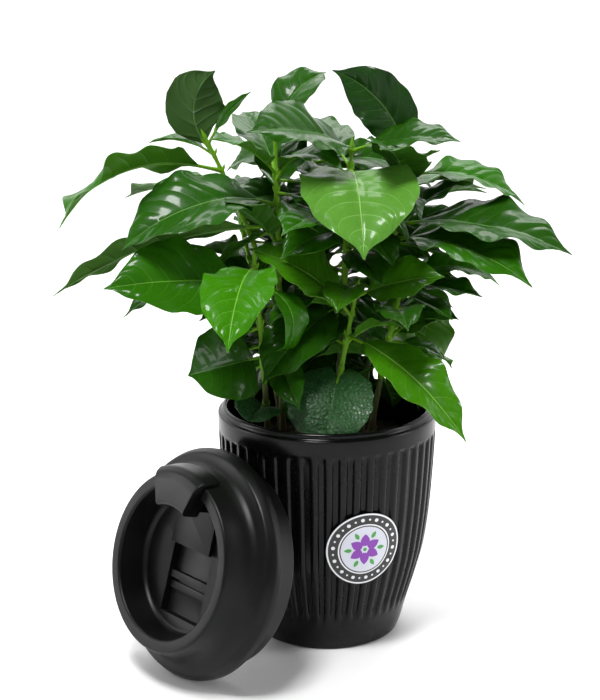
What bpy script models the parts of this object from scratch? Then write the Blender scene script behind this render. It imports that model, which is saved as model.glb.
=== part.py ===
"""Potted coffee plant.

Ten coffee seedlings stand close together in a ribbed pot shaped like a lidded drinking cup.
The pot is full of soil and the cup's own lid stands on the floor and leans on its side.
Frame: origin at the centre of the pot's flat underside, +Z up, front towards -Y, metres.
"""

import math
import random

import bmesh
import bpy
from mathutils import Matrix, Vector
from mathutils.bvhtree import BVHTree

MM = 0.001
CLEAR = 0.3 * MM
MERGE = 0.001 * MM
SMOOTH_ANGLE = math.radians(35.0)
PART_NAME = "potted coffee plant"
TOOLS_NAME = "cutters"

# ---------------------------------------------------------------- pot
RIB_COUNT = 48
RIB_DEPTH = 1.5 * MM
RIB_LOW = 17.0 * MM
RIB_HIGH = 120.6 * MM
BAND_LOW = 122.0 * MM
BAND_HIGH = 130.0 * MM
BAND_RADIUS = 62.0 * MM
LIP_RADIUS = 59.8 * MM
POT_HEIGHT = 133.2 * MM
POT_WALL = 3.0 * MM
POT_FLOOR = 4.0 * MM
POT_SIDE = (
    (0.0, 40.6),
    (2.0, 41.8),
    (6.0, 43.4),
    (17.0, 46.4),
    (35.0, 51.8),
    (55.0, 56.6),
    (85.0, 60.0),
    (122.0, 62.0),
    (140.0, 62.4),
)

# ---------------------------------------------------------------- soil
SOIL_TOP = 112.0 * MM
SOIL_EDGE_DROP = 2.5 * MM
SOIL_STEPS = 24

# ---------------------------------------------------------------- badge on the pot's front
BADGE_BEARING = -70.0
BADGE_HEIGHT = 66.0 * MM
BADGE_RADIUS = 21.6 * MM
BADGE_THICK = 0.8 * MM

# ---------------------------------------------------------------- lid, in its own frame
LID_RADIUS = 63.0 * MM
LID_STEPS = 40
LID_RING_RADIUS = 48.7 * MM
LID_WELL_RADIUS = 41.6 * MM
LID_HEIGHT = 27.0 * MM
LID_FLOOR = 10.0 * MM
LID_PLUG_RADIUS = 55.5 * MM
LID_PLUG_DEPTH = 15.0 * MM
LID_CENTRE = (-67.3, -62.4)
LID_BEARING = -139.5
LID_LEAN = 16.6
LID_LIFT = 0.2 * MM
FLAP_HALF_ANGLE = 22.0
STRAP_HALF_WIDTH = 16.5 * MM
TROUGH_HALF_WIDTH = 16.5 * MM
TROUGH_BOTTOM = 5.0 * MM

# ---------------------------------------------------------------- plant
STEM_SIDES = 6
STEM_RADIUS = 1.9 * MM
STEM_TIP_RADIUS = 1.0 * MM
STEM_FLARE = 1.55
PETIOLE_RADIUS = 0.85 * MM
BLADE_THICK_SHARE = 1.0 / 80.0
BLADE_SECTIONS = (0.0, 0.1, 0.28, 0.48, 0.68, 0.86, 1.0)
INNER_SECTIONS = (0.0, 0.24, 0.6, 1.0)
SMALL_LEAF = 40.0
MIDRIB_STEPS = 48
BLADE_FOLD = 0.22
BLADE_WAVE = 0.018
BLADE_WAVE_TURNS = 15.0
LIMB_ROOM = 0.45 * MM
BLADE_OUTLINE = (
    (0.0, 0.08),
    (0.04, 0.2),
    (0.1, 0.42),
    (0.2, 0.74),
    (0.32, 0.94),
    (0.45, 1.0),
    (0.58, 0.95),
    (0.7, 0.8),
    (0.8, 0.6),
    (0.88, 0.36),
    (0.94, 0.15),
    (1.0, 0.03),
)
ROUND_OUTLINE = (
    (0.0, 0.3),
    (0.08, 0.62),
    (0.2, 0.88),
    (0.45, 1.0),
    (0.7, 0.9),
    (0.86, 0.66),
    (0.95, 0.4),
    (1.0, 0.16),
)

# Each seedling: foot x, y; shoot tip x, y, z; curve of the stem; height of the bare lower stem.
SEEDLINGS = {
    "a": (-15, 12, -67, 0, 284, 1.6, 218),
    "b": (-25, -8, -29, -9, 290, 1.0, 150),
    "c": (5, 6, 13, 1, 279, 1.0, 180),
    "d": (19, 12, 45, 6, 268, 1.3, 196),
    "e": (1, -15, 16, -18, 204, 1.2, 134),
    "f": (-33, -16, -40, -27, 222, 1.2, 150),
    "g": (24, -8, 43, -10, 214, 1.2, 150),
    "h": (-2, 28, -8, 42, 268, 1.2, 150),
    "i": (-26, 22, -52, 42, 240, 1.2, 150),
    "j": (22, 30, 44, 46, 244, 1.2, 150),
}

# Leaves placed one by one:
# seedling, height, bearing, rise, length, width, droop, swing, roll.
LEAVES = (
    ("a", 275, 180, 53, 46, 33, 10, 92, 82),
    ("a", 281, -30, 58, 32, 9, 30, 0, 60),
    ("a", 275, 160, 34, 34, 17, 50, 0, 0),
    ("a", 266, -149, 15, 108, 34, 62, 0, 35),
    ("a", 245, 145, 18, 74, 34, 45, 0, 0),
    ("f", 217, -100, 8, 72, 39, 66, 0, 0),
    ("b", 249, -142, 16, 86, 46, 66, 0, -25),
    ("b", 237, -163, 0, 118, 26, 38, 0, 45),
    ("b", 226, -130, 50, 46, 30, 35, 0, 0),
    ("f", 207, -146, 20, 77, 48, 30, 0, -45),
    ("b", 266, -126, 40, 50, 26, 35, 0, -15),
    ("b", 266, 112, 45, 52, 30, 40, 0, 0),
    ("b", 262, -57, 50, 50, 24, 90, 0, 20),
    ("b", 288, 12, 70, 42, 28, 70, 0, 35),
    ("b", 250, 85, 50, 56, 30, 40, 0, 0),
    ("b", 236, 20, 10, 50, 28, 50, 0, 20),
    ("c", 277, -142, 30, 80, 40, 32, 0, -38),
    ("c", 277, -25, 20, 54, 30, 30, 0, 20),
    ("c", 266, -86, 6, 76, 63, 70, 0, 0),
    ("e", 188, -155, 52, 62, 38, 50, 0, -45),
    ("c", 268, 120, 30, 56, 34, 30, 0, 0),
    ("e", 199, -32, 28, 46, 29, 34, 0, 45),
    ("c", 231, -140, 12, 46, 28, 50, 0, -25),
    ("c", 222, -51, -5, 40, 26, 40, 0, 10),
    ("c", 190, -132, -8, 64, 36, 50, 0, -20),
    ("d", 266, 180, 78, 63, 31, 10, 58, -80),
    ("d", 263, 0, 6, 62, 32, 50, 0, 15),
    ("d", 267, -50, 35, 22, 9, 20, 0, 0),
    ("d", 235, -26, 16, 90, 46, 36, 0, 15),
    ("d", 227, -50, 14, 82, 42, 44, 0, 12),
    ("d", 226, 12, 5, 66, 36, 60, 0, 20),
    ("j", 204, -60, -50, 64, 48, 25, 0, 0),
    ("i", 198, -160, 10, 72, 24, 50, 0, 0),
    ("e", 203, -120, 20, 30, 24, 80, 0, 0),
    ("e", 177, -50, -6, 86, 32, 48, 0, 15),
    ("f", 205, -20, -5, 48, 20, 165, 0, 0),
    ("f", 166, -128, 4, 48, 42, 15, 0, -60),
    ("g", 173, -12, 42, 32, 22, 30, 0, 40),
    ("h", 192, 62, -32, 60, 38, 40, 0, 0),
    ("h", 190, 128, -32, 60, 38, 40, 0, 0),
    ("i", 188, 70, -34, 58, 36, 40, 0, 0),
    ("j", 188, 100, -34, 58, 36, 40, 0, 0),
    ("h", 172, 95, -44, 44, 34, 30, 0, 0),
    ("j", 168, 150, -44, 40, 30, 30, 0, 0),
)
ROUND_LEAVES = (
    ("e", 158, -106, -32, 40, 48, 38, 0, 0),
    ("e", 146, 93, 10, 30, 32, 30, 0, 0),
    ("f", 137, -108, 0, 21, 26, 40, 0, -15),
    ("g", 146, 150, 0, 26, 28, 40, 0, 0),
)

# Seeded leaves that close the crown at the back and between the others:
# seedling, lowest height, highest height, pairs, first bearing, leaf length.
PAIRS = (
    ("h", 152, 264, 6, 70, 98),
    ("i", 152, 238, 6, 110, 94),
    ("j", 152, 242, 6, 60, 94),
    ("a", 232, 255, 2, 80, 80),
    ("c", 186, 250, 4, 50, 84),
    ("d", 202, 252, 3, 75, 88),
    ("g", 160, 208, 3, 10, 72),
    ("b", 160, 206, 2, 60, 76),
    ("e", 172, 185, 1, 150, 60),
)
CROWN = (
    (0.0, 62.0),
    (136.0, 74.0),
    (170.0, 86.0),
    (192.0, 96.0),
    (212.0, 112.0),
    (252.0, 118.0),
    (268.0, 88.0),
    (290.0, 66.0),
    (318.0, 46.0),
    (340.0, 10.0),
)
TRIES = 30
SEED = 41


def clear_scene():
    for item in list(bpy.data.objects):
        bpy.data.objects.remove(item, do_unlink=True)


def make_material(name, colour, roughness, metallic=0.0):
    material = bpy.data.materials.new(name)
    material.use_nodes = True
    shader = material.node_tree.nodes["Principled BSDF"]
    shader.inputs["Base Color"].default_value = (*colour, 1.0)
    shader.inputs["Roughness"].default_value = roughness
    shader.inputs["Metallic"].default_value = metallic
    material.diffuse_color = (*colour, 1.0)
    return material


def collection_named(name):
    group = bpy.data.collections.get(name)
    if group is None:
        group = bpy.data.collections.new(name)
        bpy.context.scene.collection.children.link(group)
    return group


def link_object(name, mesh, group_name):
    item = bpy.data.objects.new(name, mesh)
    collection_named(group_name).objects.link(item)
    return item


def face_outward(mesh):
    work = bmesh.new()
    work.from_mesh(mesh)
    bmesh.ops.recalc_face_normals(work, faces=work.faces)
    work.to_mesh(mesh)
    work.free()


def make_object(name, skin, material=None, group_name=PART_NAME):
    """Object with the given skin of corner points and faces."""
    verts, faces = skin
    mesh = bpy.data.meshes.new(name)
    mesh.from_pydata([tuple(v) for v in verts], [], faces)
    mesh.validate()
    face_outward(mesh)
    if material:
        mesh.materials.append(material)
    return link_object(name, mesh, group_name)


def make_turned(name, profile, steps, material):
    """Solid turned about Z from a profile that starts and ends on the axis."""
    mesh = bpy.data.meshes.new(name)
    edges = [(k, k + 1) for k in range(len(profile) - 1)]
    mesh.from_pydata([(radius, 0.0, z) for radius, z in profile], edges, [])
    mesh.materials.append(material)
    item = link_object(name, mesh, PART_NAME)
    screw = item.modifiers.new("turn", "SCREW")
    screw.steps = steps
    screw.render_steps = steps
    screw.use_merge_vertices = True
    screw.merge_threshold = MERGE
    apply_modifiers(item)
    face_outward(item.data)
    return item


def shade_round(item):
    item.data.shade_smooth()
    item.data.set_sharp_from_angle(angle=SMOOTH_ANGLE)
    return item


def lerp_table(table, x):
    for (x0, y0), (x1, y1) in zip(table, table[1:]):
        if x <= x1:
            return y0 + (y1 - y0) * (x - x0) / (x1 - x0)
    return table[-1][1]


def side_radius(z):
    return lerp_table(POT_SIDE, z / MM) * MM


def stack_rings(rings):
    """Closed skin through rings of n or 2n points and pole points."""
    verts = []
    faces = []
    starts = []
    for ring in rings:
        starts.append(len(verts))
        verts.extend(ring)
    for k in range(len(rings) - 1):
        a = len(rings[k])
        b = len(rings[k + 1])
        i0 = starts[k]
        j0 = starts[k + 1]
        if a == 1:
            for i in range(b):
                faces.append((i0, j0 + i, j0 + (i + 1) % b))
        elif b == 1:
            for i in range(a):
                faces.append((i0 + i, j0, i0 + (i + 1) % a))
        elif a == b:
            for i in range(a):
                n = (i + 1) % a
                faces.append((i0 + i, j0 + i, j0 + n, i0 + n))
        elif b == 2 * a:
            for i in range(a):
                n = (i + 1) % a
                m = 2 * i
                faces.append((i0 + i, j0 + m, j0 + m + 1))
                faces.append((i0 + i, j0 + m + 1, i0 + n))
                faces.append((i0 + n, j0 + m + 1, j0 + (m + 2) % b))
        else:
            for i in range(b):
                n = (i + 1) % b
                m = 2 * i
                faces.append((j0 + i, i0 + m + 1, i0 + m))
                faces.append((j0 + i, j0 + n, i0 + m + 1))
                faces.append((j0 + n, i0 + (m + 2) % a, i0 + m + 1))
    return verts, faces


def circle(radius, z, count, turn=0.0):
    points = []
    for i in range(count):
        angle = 2.0 * math.pi * i / count + turn
        points.append(Vector((radius * math.cos(angle), radius * math.sin(angle), z)))
    return points


def ribbed_circle(z, depth):
    points = []
    crest = side_radius(z)
    for i in range(2 * RIB_COUNT):
        angle = math.pi * i / RIB_COUNT
        radius = crest if i % 2 == 0 else crest - depth
        points.append(Vector((radius * math.cos(angle), radius * math.sin(angle), z)))
    return points


def build_pot():
    count = RIB_COUNT
    rings = [[Vector((0.0, 0.0, 0.0))]]
    for z in (0.0, 2.0 * MM, 6.0 * MM, RIB_LOW - 3.0 * MM):
        rings.append(circle(side_radius(z), z, count))
    rings.append(ribbed_circle(RIB_LOW, 0.3 * MM))
    rings.append(ribbed_circle(24.0 * MM, RIB_DEPTH))
    for z in (35.0 * MM, 55.0 * MM, 85.0 * MM, RIB_HIGH):
        rings.append(ribbed_circle(z, RIB_DEPTH))
    rings.append(circle(BAND_RADIUS, BAND_LOW, count))
    rings.append(circle(BAND_RADIUS, BAND_HIGH, count))
    rings.append(circle(LIP_RADIUS, BAND_HIGH + 1.0 * MM, count))
    rings.append(circle(LIP_RADIUS - 0.9 * MM, POT_HEIGHT, count))
    rings.append(circle(LIP_RADIUS - 2.2 * MM, POT_HEIGHT - 0.2 * MM, count))
    for z in (BAND_HIGH - 2.0 * MM, 85.0 * MM, 55.0 * MM, 35.0 * MM, 8.0 * MM):
        rings.append(circle(inner_radius(z), z, count))
    rings.append(circle(inner_radius(8.0 * MM) - 4.0 * MM, POT_FLOOR, count))
    rings.append([Vector((0.0, 0.0, POT_FLOOR))])
    plastic = make_material("pot plastic", (0.012, 0.012, 0.013), 0.42)
    return shade_round(make_object("pot", stack_rings(rings), plastic))


def inner_radius(z):
    return side_radius(min(z, BAND_LOW)) - RIB_DEPTH - POT_WALL + 0.6 * MM


def build_soil():
    low = POT_FLOOR + CLEAR
    gap = CLEAR + 0.1 * MM
    profile = [(0.0, SOIL_TOP), (inner_radius(SOIL_TOP) - 8.0 * MM, SOIL_TOP)]
    for z in (SOIL_TOP - SOIL_EDGE_DROP, 85.0 * MM, 55.0 * MM, 35.0 * MM, 8.0 * MM + CLEAR):
        profile.append((inner_radius(z) - gap, z))
    profile.append((inner_radius(8.0 * MM) - 4.0 * MM - gap, low))
    profile.append((0.0, low))
    earth = make_material("potting soil", (0.035, 0.022, 0.014), 0.95)
    return shade_round(make_turned("soil", profile, SOIL_STEPS, earth))


def build_badge():
    rings = 3
    steps = 24
    middle = math.radians(BADGE_BEARING)

    def place(across, up, lift):
        z = BADGE_HEIGHT + up
        radius = side_radius(z) + CLEAR + 0.15 * MM + lift
        angle = middle + across / (side_radius(BADGE_HEIGHT) + CLEAR)
        return Vector((radius * math.cos(angle), radius * math.sin(angle), z))

    back = [[place(0.0, 0.0, 0.0)]]
    front = [[place(0.0, 0.0, BADGE_THICK)]]
    for k in range(1, rings + 1):
        r = BADGE_RADIUS * k / rings
        spots = [2.0 * math.pi * i / steps for i in range(steps)]
        back.append([place(r * math.cos(s), r * math.sin(s), 0.0) for s in spots])
        front.append([place(r * math.cos(s), r * math.sin(s), BADGE_THICK) for s in spots])
    print_paint = make_material("printed badge", (0.75, 0.75, 0.75), 0.35)
    return shade_round(make_object("badge", stack_rings(back + front[::-1]), print_paint))


def lid_matrix():
    bearing = math.radians(LID_BEARING)
    lean = math.radians(LID_LEAN)
    axis = Vector((math.cos(bearing) * math.cos(lean), math.sin(bearing) * math.cos(lean), math.sin(lean)))
    across = Vector((-math.sin(bearing), math.cos(bearing), 0.0))
    up = axis.cross(across)
    spot = Vector((LID_CENTRE[0] * MM, LID_CENTRE[1] * MM, LID_RADIUS * math.cos(lean) + LID_LIFT))
    matrix = Matrix.Identity(4)
    for row in range(3):
        matrix[row][0] = across[row]
        matrix[row][1] = up[row]
        matrix[row][2] = axis[row]
        matrix[row][3] = spot[row]
    return matrix


def lid_profile():
    ring = LID_RING_RADIUS
    well = LID_WELL_RADIUS
    top = LID_HEIGHT
    plug = LID_PLUG_RADIUS
    deep = LID_PLUG_DEPTH
    mm = MM
    outer = (
        (LID_RADIUS, 0.0),
        (LID_RADIUS, 4.5 * mm),
        (60.6 * mm, 8.6 * mm),
        (57.4 * mm, 9.6 * mm),
        (53.4 * mm, 12.0 * mm),
        (50.6 * mm, 17.0 * mm),
        (ring, top - 0.8 * mm),
        (ring - 0.8 * mm, top),
        (well + 0.8 * mm, top),
        (well, top - 0.8 * mm),
        (well - 2.2 * mm, LID_FLOOR + 2.0 * mm),
        (well - 4.0 * mm, LID_FLOOR),
    )
    inner = (
        (well - 2.0 * mm, LID_FLOOR - 2.4 * mm),
        (well + 2.4 * mm, top - 2.2 * mm),
        (ring - 2.4 * mm, top - 2.2 * mm),
        (ring - 1.4 * mm, 17.0 * mm),
        (plug - 2.0 * mm, 6.0 * mm),
        (plug - 2.0 * mm, -deep),
        (plug, -deep),
        (plug + 1.0 * mm, 0.0),
    )
    return outer, inner


def build_lid():
    outer, inner = lid_profile()
    profile = [(0.0, LID_FLOOR), *outer[::-1], *inner[::-1], (0.0, LID_FLOOR - 2.4 * MM)]
    lid = make_turned("lid", profile, LID_STEPS, make_material("lid plastic", (0.014, 0.014, 0.015), 0.36))
    half = TROUGH_HALF_WIDTH
    low = -31.0 * MM
    high = 9.0 * MM
    case = box("trough case", -half - 2.0 * MM, half + 2.0 * MM, low - 2.0 * MM, high + 2.0 * MM,
               TROUGH_BOTTOM - 2.0 * MM, LID_FLOOR - 1.0 * MM)
    hollow = box("trough hollow", -half, half, low, high, TROUGH_BOTTOM, LID_FLOOR + 5.0 * MM)
    combine(lid, case, "UNION")
    combine(lid, hollow, "DIFFERENCE")
    for z, depth in ((-8.0, 3.2), (-14.0, 1.8)):
        step = box("trough step", -half - 0.5 * MM, half + 0.5 * MM, (z - 4.0) * MM, z * MM,
                   TROUGH_BOTTOM - 1.0 * MM, TROUGH_BOTTOM + depth * MM)
        combine(lid, step, "UNION")
    clean_skin(lid)
    lid.data.transform(lid_matrix())
    return shade_round(lid)


def box(name, x0, x1, y0, y1, z0, z1):
    """Block that is joined to a piece or cut from it."""
    size = Vector((x1 - x0, y1 - y0, z1 - z0))
    middle = Vector((x0 + x1, y0 + y1, z0 + z1)) * 0.5
    work = bmesh.new()
    bmesh.ops.create_cube(work, size=1.0, matrix=Matrix.LocRotScale(middle, None, size))
    mesh = bpy.data.meshes.new(name)
    work.to_mesh(mesh)
    work.free()
    return link_object(name, mesh, TOOLS_NAME)


def combine(target, tool, operation):
    """Applied Boolean of one tool on a target; the tool is removed."""
    modifier = target.modifiers.new("join", "BOOLEAN")
    modifier.operation = operation
    modifier.solver = "EXACT"
    modifier.object = tool
    apply_modifiers(target)
    bpy.data.objects.remove(tool, do_unlink=True)


def apply_modifiers(target):
    graph = bpy.context.evaluated_depsgraph_get()
    graph.update()
    mesh = bpy.data.meshes.new_from_object(target.evaluated_get(graph))
    target.modifiers.clear()
    target.data = mesh


def build_flap():
    """Sipping flap: a saddle over the lid's ring and a strap down to the well's floor."""
    mm = MM
    profile = (
        (30.0, 22.0),
        (30.0, 31.6),
        (31.6, 33.2),
        (44.0, 33.4),
        (48.6, 32.2),
        (51.6, 29.0),
        (52.4, 24.0),
        (53.6, 19.0),
        (51.4, 19.0),
        (50.2, 22.6),
        (49.3, 27.4),
        (41.2, 27.4),
        (40.0, 22.0),
    )
    steps = 8
    half = math.radians(FLAP_HALF_ANGLE)
    rows = []
    for k in range(steps + 1):
        angle = -half + 2.0 * half * k / steps
        rows.append([Vector((r * math.sin(angle), r * math.cos(angle), z)) * mm for r, z in profile])
    verts = [p for row in rows for p in row]
    n = len(profile)
    faces = [tuple(range(n))]
    for k in range(steps):
        for i in range(n):
            j = (i + 1) % n
            faces.append((k * n + i, (k + 1) * n + i, (k + 1) * n + j, k * n + j))
    faces.append(tuple(steps * n + i for i in reversed(range(n))))
    flap = make_object("lid_flap", (verts, faces), make_material("flap plastic", (0.016, 0.016, 0.017), 0.34))
    wide = STRAP_HALF_WIDTH
    low = LID_FLOOR + CLEAR
    narrow = wide - 4.0 * mm
    web = box("web", -narrow, narrow, 31.0 * mm, 34.0 * mm, low, 24.0 * mm)
    strap = box("strap", -wide, wide, 8.0 * mm, 33.0 * mm, low, low + 2.6 * mm)
    combine(flap, web, "UNION")
    combine(flap, strap, "UNION")
    flap.data.transform(lid_matrix())
    return shade_round(flap)


# ---------------------------------------------------------------- plant rules

def stem_point(key, z_mm):
    x0, y0, x1, y1, top, curve, bare = SEEDLINGS[key]
    share = max(0.0, (z_mm - SOIL_TOP / MM) / (top - SOIL_TOP / MM))
    bent = share ** curve
    return Vector((x0 + (x1 - x0) * bent, y0 + (y1 - y0) * bent, z_mm)) * MM


def stem_radius(key, z_mm):
    top = SEEDLINGS[key][4]
    share = (z_mm - SOIL_TOP / MM) / (top - SOIL_TOP / MM)
    radius = STEM_RADIUS + (STEM_TIP_RADIUS - STEM_RADIUS) * share
    rise = (z_mm - SOIL_TOP / MM) / 8.0
    return radius * (1.0 + (STEM_FLARE - 1.0) * math.exp(-rise * rise))


def tube(points, radii, sides, level_ends=False):
    """Closed tube skin through points."""
    rings = []
    total = len(points)
    for k, point in enumerate(points):
        ahead = points[min(k + 1, total - 1)] - points[max(k - 1, 0)]
        if level_ends and k in (0, total - 1):
            ahead = Vector((0.0, 0.0, 1.0))
        ahead.normalize()
        side = ahead.cross(Vector((0.31, 0.95, 0.05)))
        side.normalize()
        other = ahead.cross(side)
        ring = []
        for i in range(sides):
            angle = 2.0 * math.pi * i / sides
            ring.append(point + (side * math.cos(angle) + other * math.sin(angle)) * radii[k])
        rings.append(ring)
    verts = [p for ring in rings for p in ring]
    faces = [tuple(range(sides))]
    for k in range(total - 1):
        for i in range(sides):
            j = (i + 1) % sides
            faces.append((k * sides + i, (k + 1) * sides + i, (k + 1) * sides + j, k * sides + j))
    faces.append(tuple((total - 1) * sides + i for i in reversed(range(sides))))
    return verts, faces


def stem_skin(key, low, high, steps):
    heights = [low + (high - low) * k / steps for k in range(steps + 1)]
    points = [stem_point(key, z) for z in heights]
    radii = [stem_radius(key, z) for z in heights]
    return tube(points, radii, STEM_SIDES, True)


def leaf_frames(start, bearing, rise, roll, length, droop, swing, shares):
    """Midrib points and their direction, side and normal at the given shares of the length."""
    turn = math.radians(bearing)
    lift = math.radians(rise)
    ahead = Vector((math.cos(turn) * math.cos(lift), math.sin(turn) * math.cos(lift), math.sin(lift)))
    side = Vector((-math.sin(turn), math.cos(turn), 0.0))
    side.rotate(Matrix.Rotation(math.radians(roll), 3, ahead))
    frames = []
    steps = MIDRIB_STEPS
    point = start.copy()
    wanted = list(shares)
    for k in range(steps + 1):
        share = k / steps
        while wanted and wanted[0] <= share + 1e-6:
            frames.append((point.copy(), ahead.copy(), side.copy(), ahead.cross(side)))
            wanted.pop(0)
        bend = Matrix.Rotation(math.radians(droop) / steps, 3, side)
        ahead.rotate(bend)
        sway = Matrix.Rotation(math.radians(swing) / steps, 3, ahead.cross(side))
        ahead.rotate(sway)
        side.rotate(sway)
        point = point + ahead * (length / steps)
    return frames


def blade_skin(start, leaf, outline, grow=0.0):
    """Closed slab of a leaf: three points across the top and three across the underside."""
    bearing, rise, length, width, droop, swing, roll, phase, inner = leaf
    shares = INNER_SECTIONS if inner else BLADE_SECTIONS
    frames = leaf_frames(start, bearing, rise, roll, length * MM, droop, swing, shares)
    thick = length * MM * BLADE_THICK_SHARE * 0.5 + grow
    verts = []
    for share, (point, ahead, side, normal) in zip(shares, frames):
        half = lerp_table(outline, share) * width * MM * 0.5 + grow
        fade = min(1.0, half / (width * MM * 0.3))
        wave = math.sin(share * BLADE_WAVE_TURNS + phase) * length * MM * BLADE_WAVE * fade
        fold = half * BLADE_FOLD
        thin = thick if share < 0.95 else thick * 0.7
        left = point + side * half + normal * (fold + wave)
        right = point - side * half + normal * (fold - wave)
        for spot in (left, point, right):
            verts.append(spot + normal * thin)
        for spot in (right, point, left):
            verts.append(spot - normal * thin)
    faces = [(0, 1, 4), (0, 4, 5), (1, 2, 3), (1, 3, 4)]
    last = (len(shares) - 1) * 6
    for k in range(len(shares) - 1):
        low = k * 6
        high = low + 6
        for i in range(6):
            j = (i + 1) % 6
            if i < 3:
                faces.append((low + j, low + i, high + j))
                faces.append((low + i, high + i, high + j))
            else:
                faces.append((low + j, low + i, high + i))
                faces.append((low + j, high + i, high + j))
    for a, b, c in ((0, 4, 1), (0, 5, 4), (1, 3, 2), (1, 4, 3)):
        faces.append((last + a, last + b, last + c))
    return verts, faces


def petiole_length(length):
    return 3.0 + 0.11 * length


def leaf_parts(key, height, leaf, outline, grow=0.0):
    root = stem_point(key, height)
    bearing, rise, length = leaf[0], leaf[1], leaf[2]
    turn = math.radians(bearing)
    lift = math.radians(rise)
    ahead = Vector((math.cos(turn) * math.cos(lift), math.sin(turn) * math.cos(lift), math.sin(lift)))
    reach = petiole_length(length) * MM
    start = root + ahead * reach
    stalk = tube((root, root + ahead * (reach + 3.0 * MM)),
                 (PETIOLE_RADIUS * 1.1 + grow, PETIOLE_RADIUS + grow), 4)
    blade = blade_skin(start, leaf, outline, grow)
    return stalk, blade


NUDGES = ((0, 0), (5, 0), (-5, 0), (0, 6), (0, -6), (9, 4), (-9, 4), (9, -5), (-9, -5), (14, 0), (-14, 0),
          (0, 12), (0, -12), (18, 8), (-18, 8), (22, -6), (-22, -6))


def tree_of(skin):
    verts, faces = skin
    return BVHTree.FromPolygons([tuple(v) for v in verts], [tuple(f) for f in faces])


def place_leaves():
    """Choose every leaf's final pose: a leaf that would touch another limb is nudged or skipped."""
    fixed = []
    limbs = {key: [] for key in SEEDLINGS}
    for key in SEEDLINGS:
        limbs[key].append(tree_of(stem_skin(key, SOIL_TOP / MM, SEEDLINGS[key][4], 6)))
    for name in ("pot", "soil", "lid", "lid_flap"):
        mesh = bpy.data.objects[name].data
        fixed.append(BVHTree.FromPolygons([tuple(v.co) for v in mesh.vertices],
                                          [tuple(p.vertices) for p in mesh.polygons]))
    chosen = {key: [] for key in SEEDLINGS}
    blades = {key: [] for key in SEEDLINGS}

    def free(key, stalk, blade, strict):
        tests = (tree_of(stalk), tree_of(blade))
        for other in SEEDLINGS:
            trees = blades[other] if other == key else limbs[other] + blades[other]
            if other == key and not strict:
                continue
            for tree in trees:
                if tests[1].overlap(tree) or (other != key and tests[0].overlap(tree)):
                    return False
        return not any(tests[1].overlap(tree) or tests[0].overlap(tree) for tree in fixed)

    def keep(key, height, leaf, outline):
        chosen[key].append((height, leaf, outline))
        for skin in leaf_parts(key, height, leaf, outline):
            blades[key].append(tree_of(skin))

    def settle(key, height, leaf, outline):
        for strict in (True, False):
            for turn, lift in NUDGES:
                moved = (leaf[0] + turn, leaf[1] + lift) + tuple(leaf[2:])
                stalk, blade = leaf_parts(key, height, moved, outline, LIMB_ROOM)
                if free(key, stalk, blade, strict):
                    keep(key, height, moved, outline)
                    return

    def inside_crown(blade):
        for spot in blade[0]:
            if math.hypot(spot.x, spot.y) > lerp_table(CROWN, spot.z / MM) * MM:
                return False
        return True

    rng = random.Random(SEED)
    for group, outline in ((LEAVES, BLADE_OUTLINE), (ROUND_LEAVES, ROUND_OUTLINE)):
        for key, height, bearing, rise, length, width, droop, swing, roll in group:
            phase = rng.uniform(0.0, 6.28)
            leaf = (bearing, rise, length, width, droop, swing, roll, phase, length < SMALL_LEAF)
            settle(key, height, leaf, outline)
    for key, low, high, pairs, first, length in PAIRS:
        for k in range(pairs):
            height = low + (high - low) * k / max(1, pairs - 1)
            for half_turn in (0.0, 180.0):
                for attempt in range(TRIES):
                    low_share = min(1.0, 0.62 + max(0.0, height - 150.0) / 130.0)
                    size = length * rng.uniform(0.85, 1.12) * low_share * (1.0 - 0.017 * attempt)
                    spread = 14.0 + 1.6 * attempt
                    leaf = (
                        first + 90.0 * k + half_turn + rng.uniform(-spread, spread),
                        24.0 + 16.0 * k / pairs + rng.uniform(-spread, spread) * 0.6,
                        size,
                        size * rng.uniform(0.42, 0.5),
                        rng.uniform(40.0, 80.0),
                        0.0,
                        rng.uniform(-spread, spread),
                        rng.uniform(0.0, 6.28),
                        True,
                    )
                    stalk, blade = leaf_parts(key, height, leaf, BLADE_OUTLINE, LIMB_ROOM)
                    if inside_crown(blade) and free(key, stalk, blade, True):
                        keep(key, height, leaf, BLADE_OUTLINE)
                        break
    return chosen


def build_stem(key):
    low = (SOIL_TOP + CLEAR) / MM
    bare = SEEDLINGS[key][6]
    heights = [low, low + 4.0, low + 10.0, (low + bare) * 0.5 + 5.0, bare]
    points = [stem_point(key, z) for z in heights]
    radii = [stem_radius(key, z) for z in heights]
    bark = make_material("stem bark " + key, (0.12, 0.13, 0.035), 0.6)
    return shade_round(make_object("stem_" + key, tube(points, radii, STEM_SIDES, True), bark))


def build_mass(key, leaves):
    """Upper shoot of one seedling with its leaves, fused into one solid."""
    low = SEEDLINGS[key][6] + CLEAR / MM
    top = SEEDLINGS[key][4]
    green = make_material("coffee leaf " + key, (0.035, 0.13, 0.022), 0.35)
    mass = make_object("leaves_" + key, stem_skin(key, low, top, 4), green)
    group = collection_named("limbs " + key)
    for height, leaf, outline in leaves:
        for skin in leaf_parts(key, height, leaf, outline):
            make_object("limb", skin, None, group.name)
    modifier = mass.modifiers.new("join", "BOOLEAN")
    modifier.operation = "UNION"
    modifier.solver = "EXACT"
    modifier.operand_type = "COLLECTION"
    modifier.collection = group
    apply_modifiers(mass)
    for piece in list(group.objects):
        bpy.data.objects.remove(piece, do_unlink=True)
    bpy.data.collections.remove(group)
    clean_skin(mass)
    return mass


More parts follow.
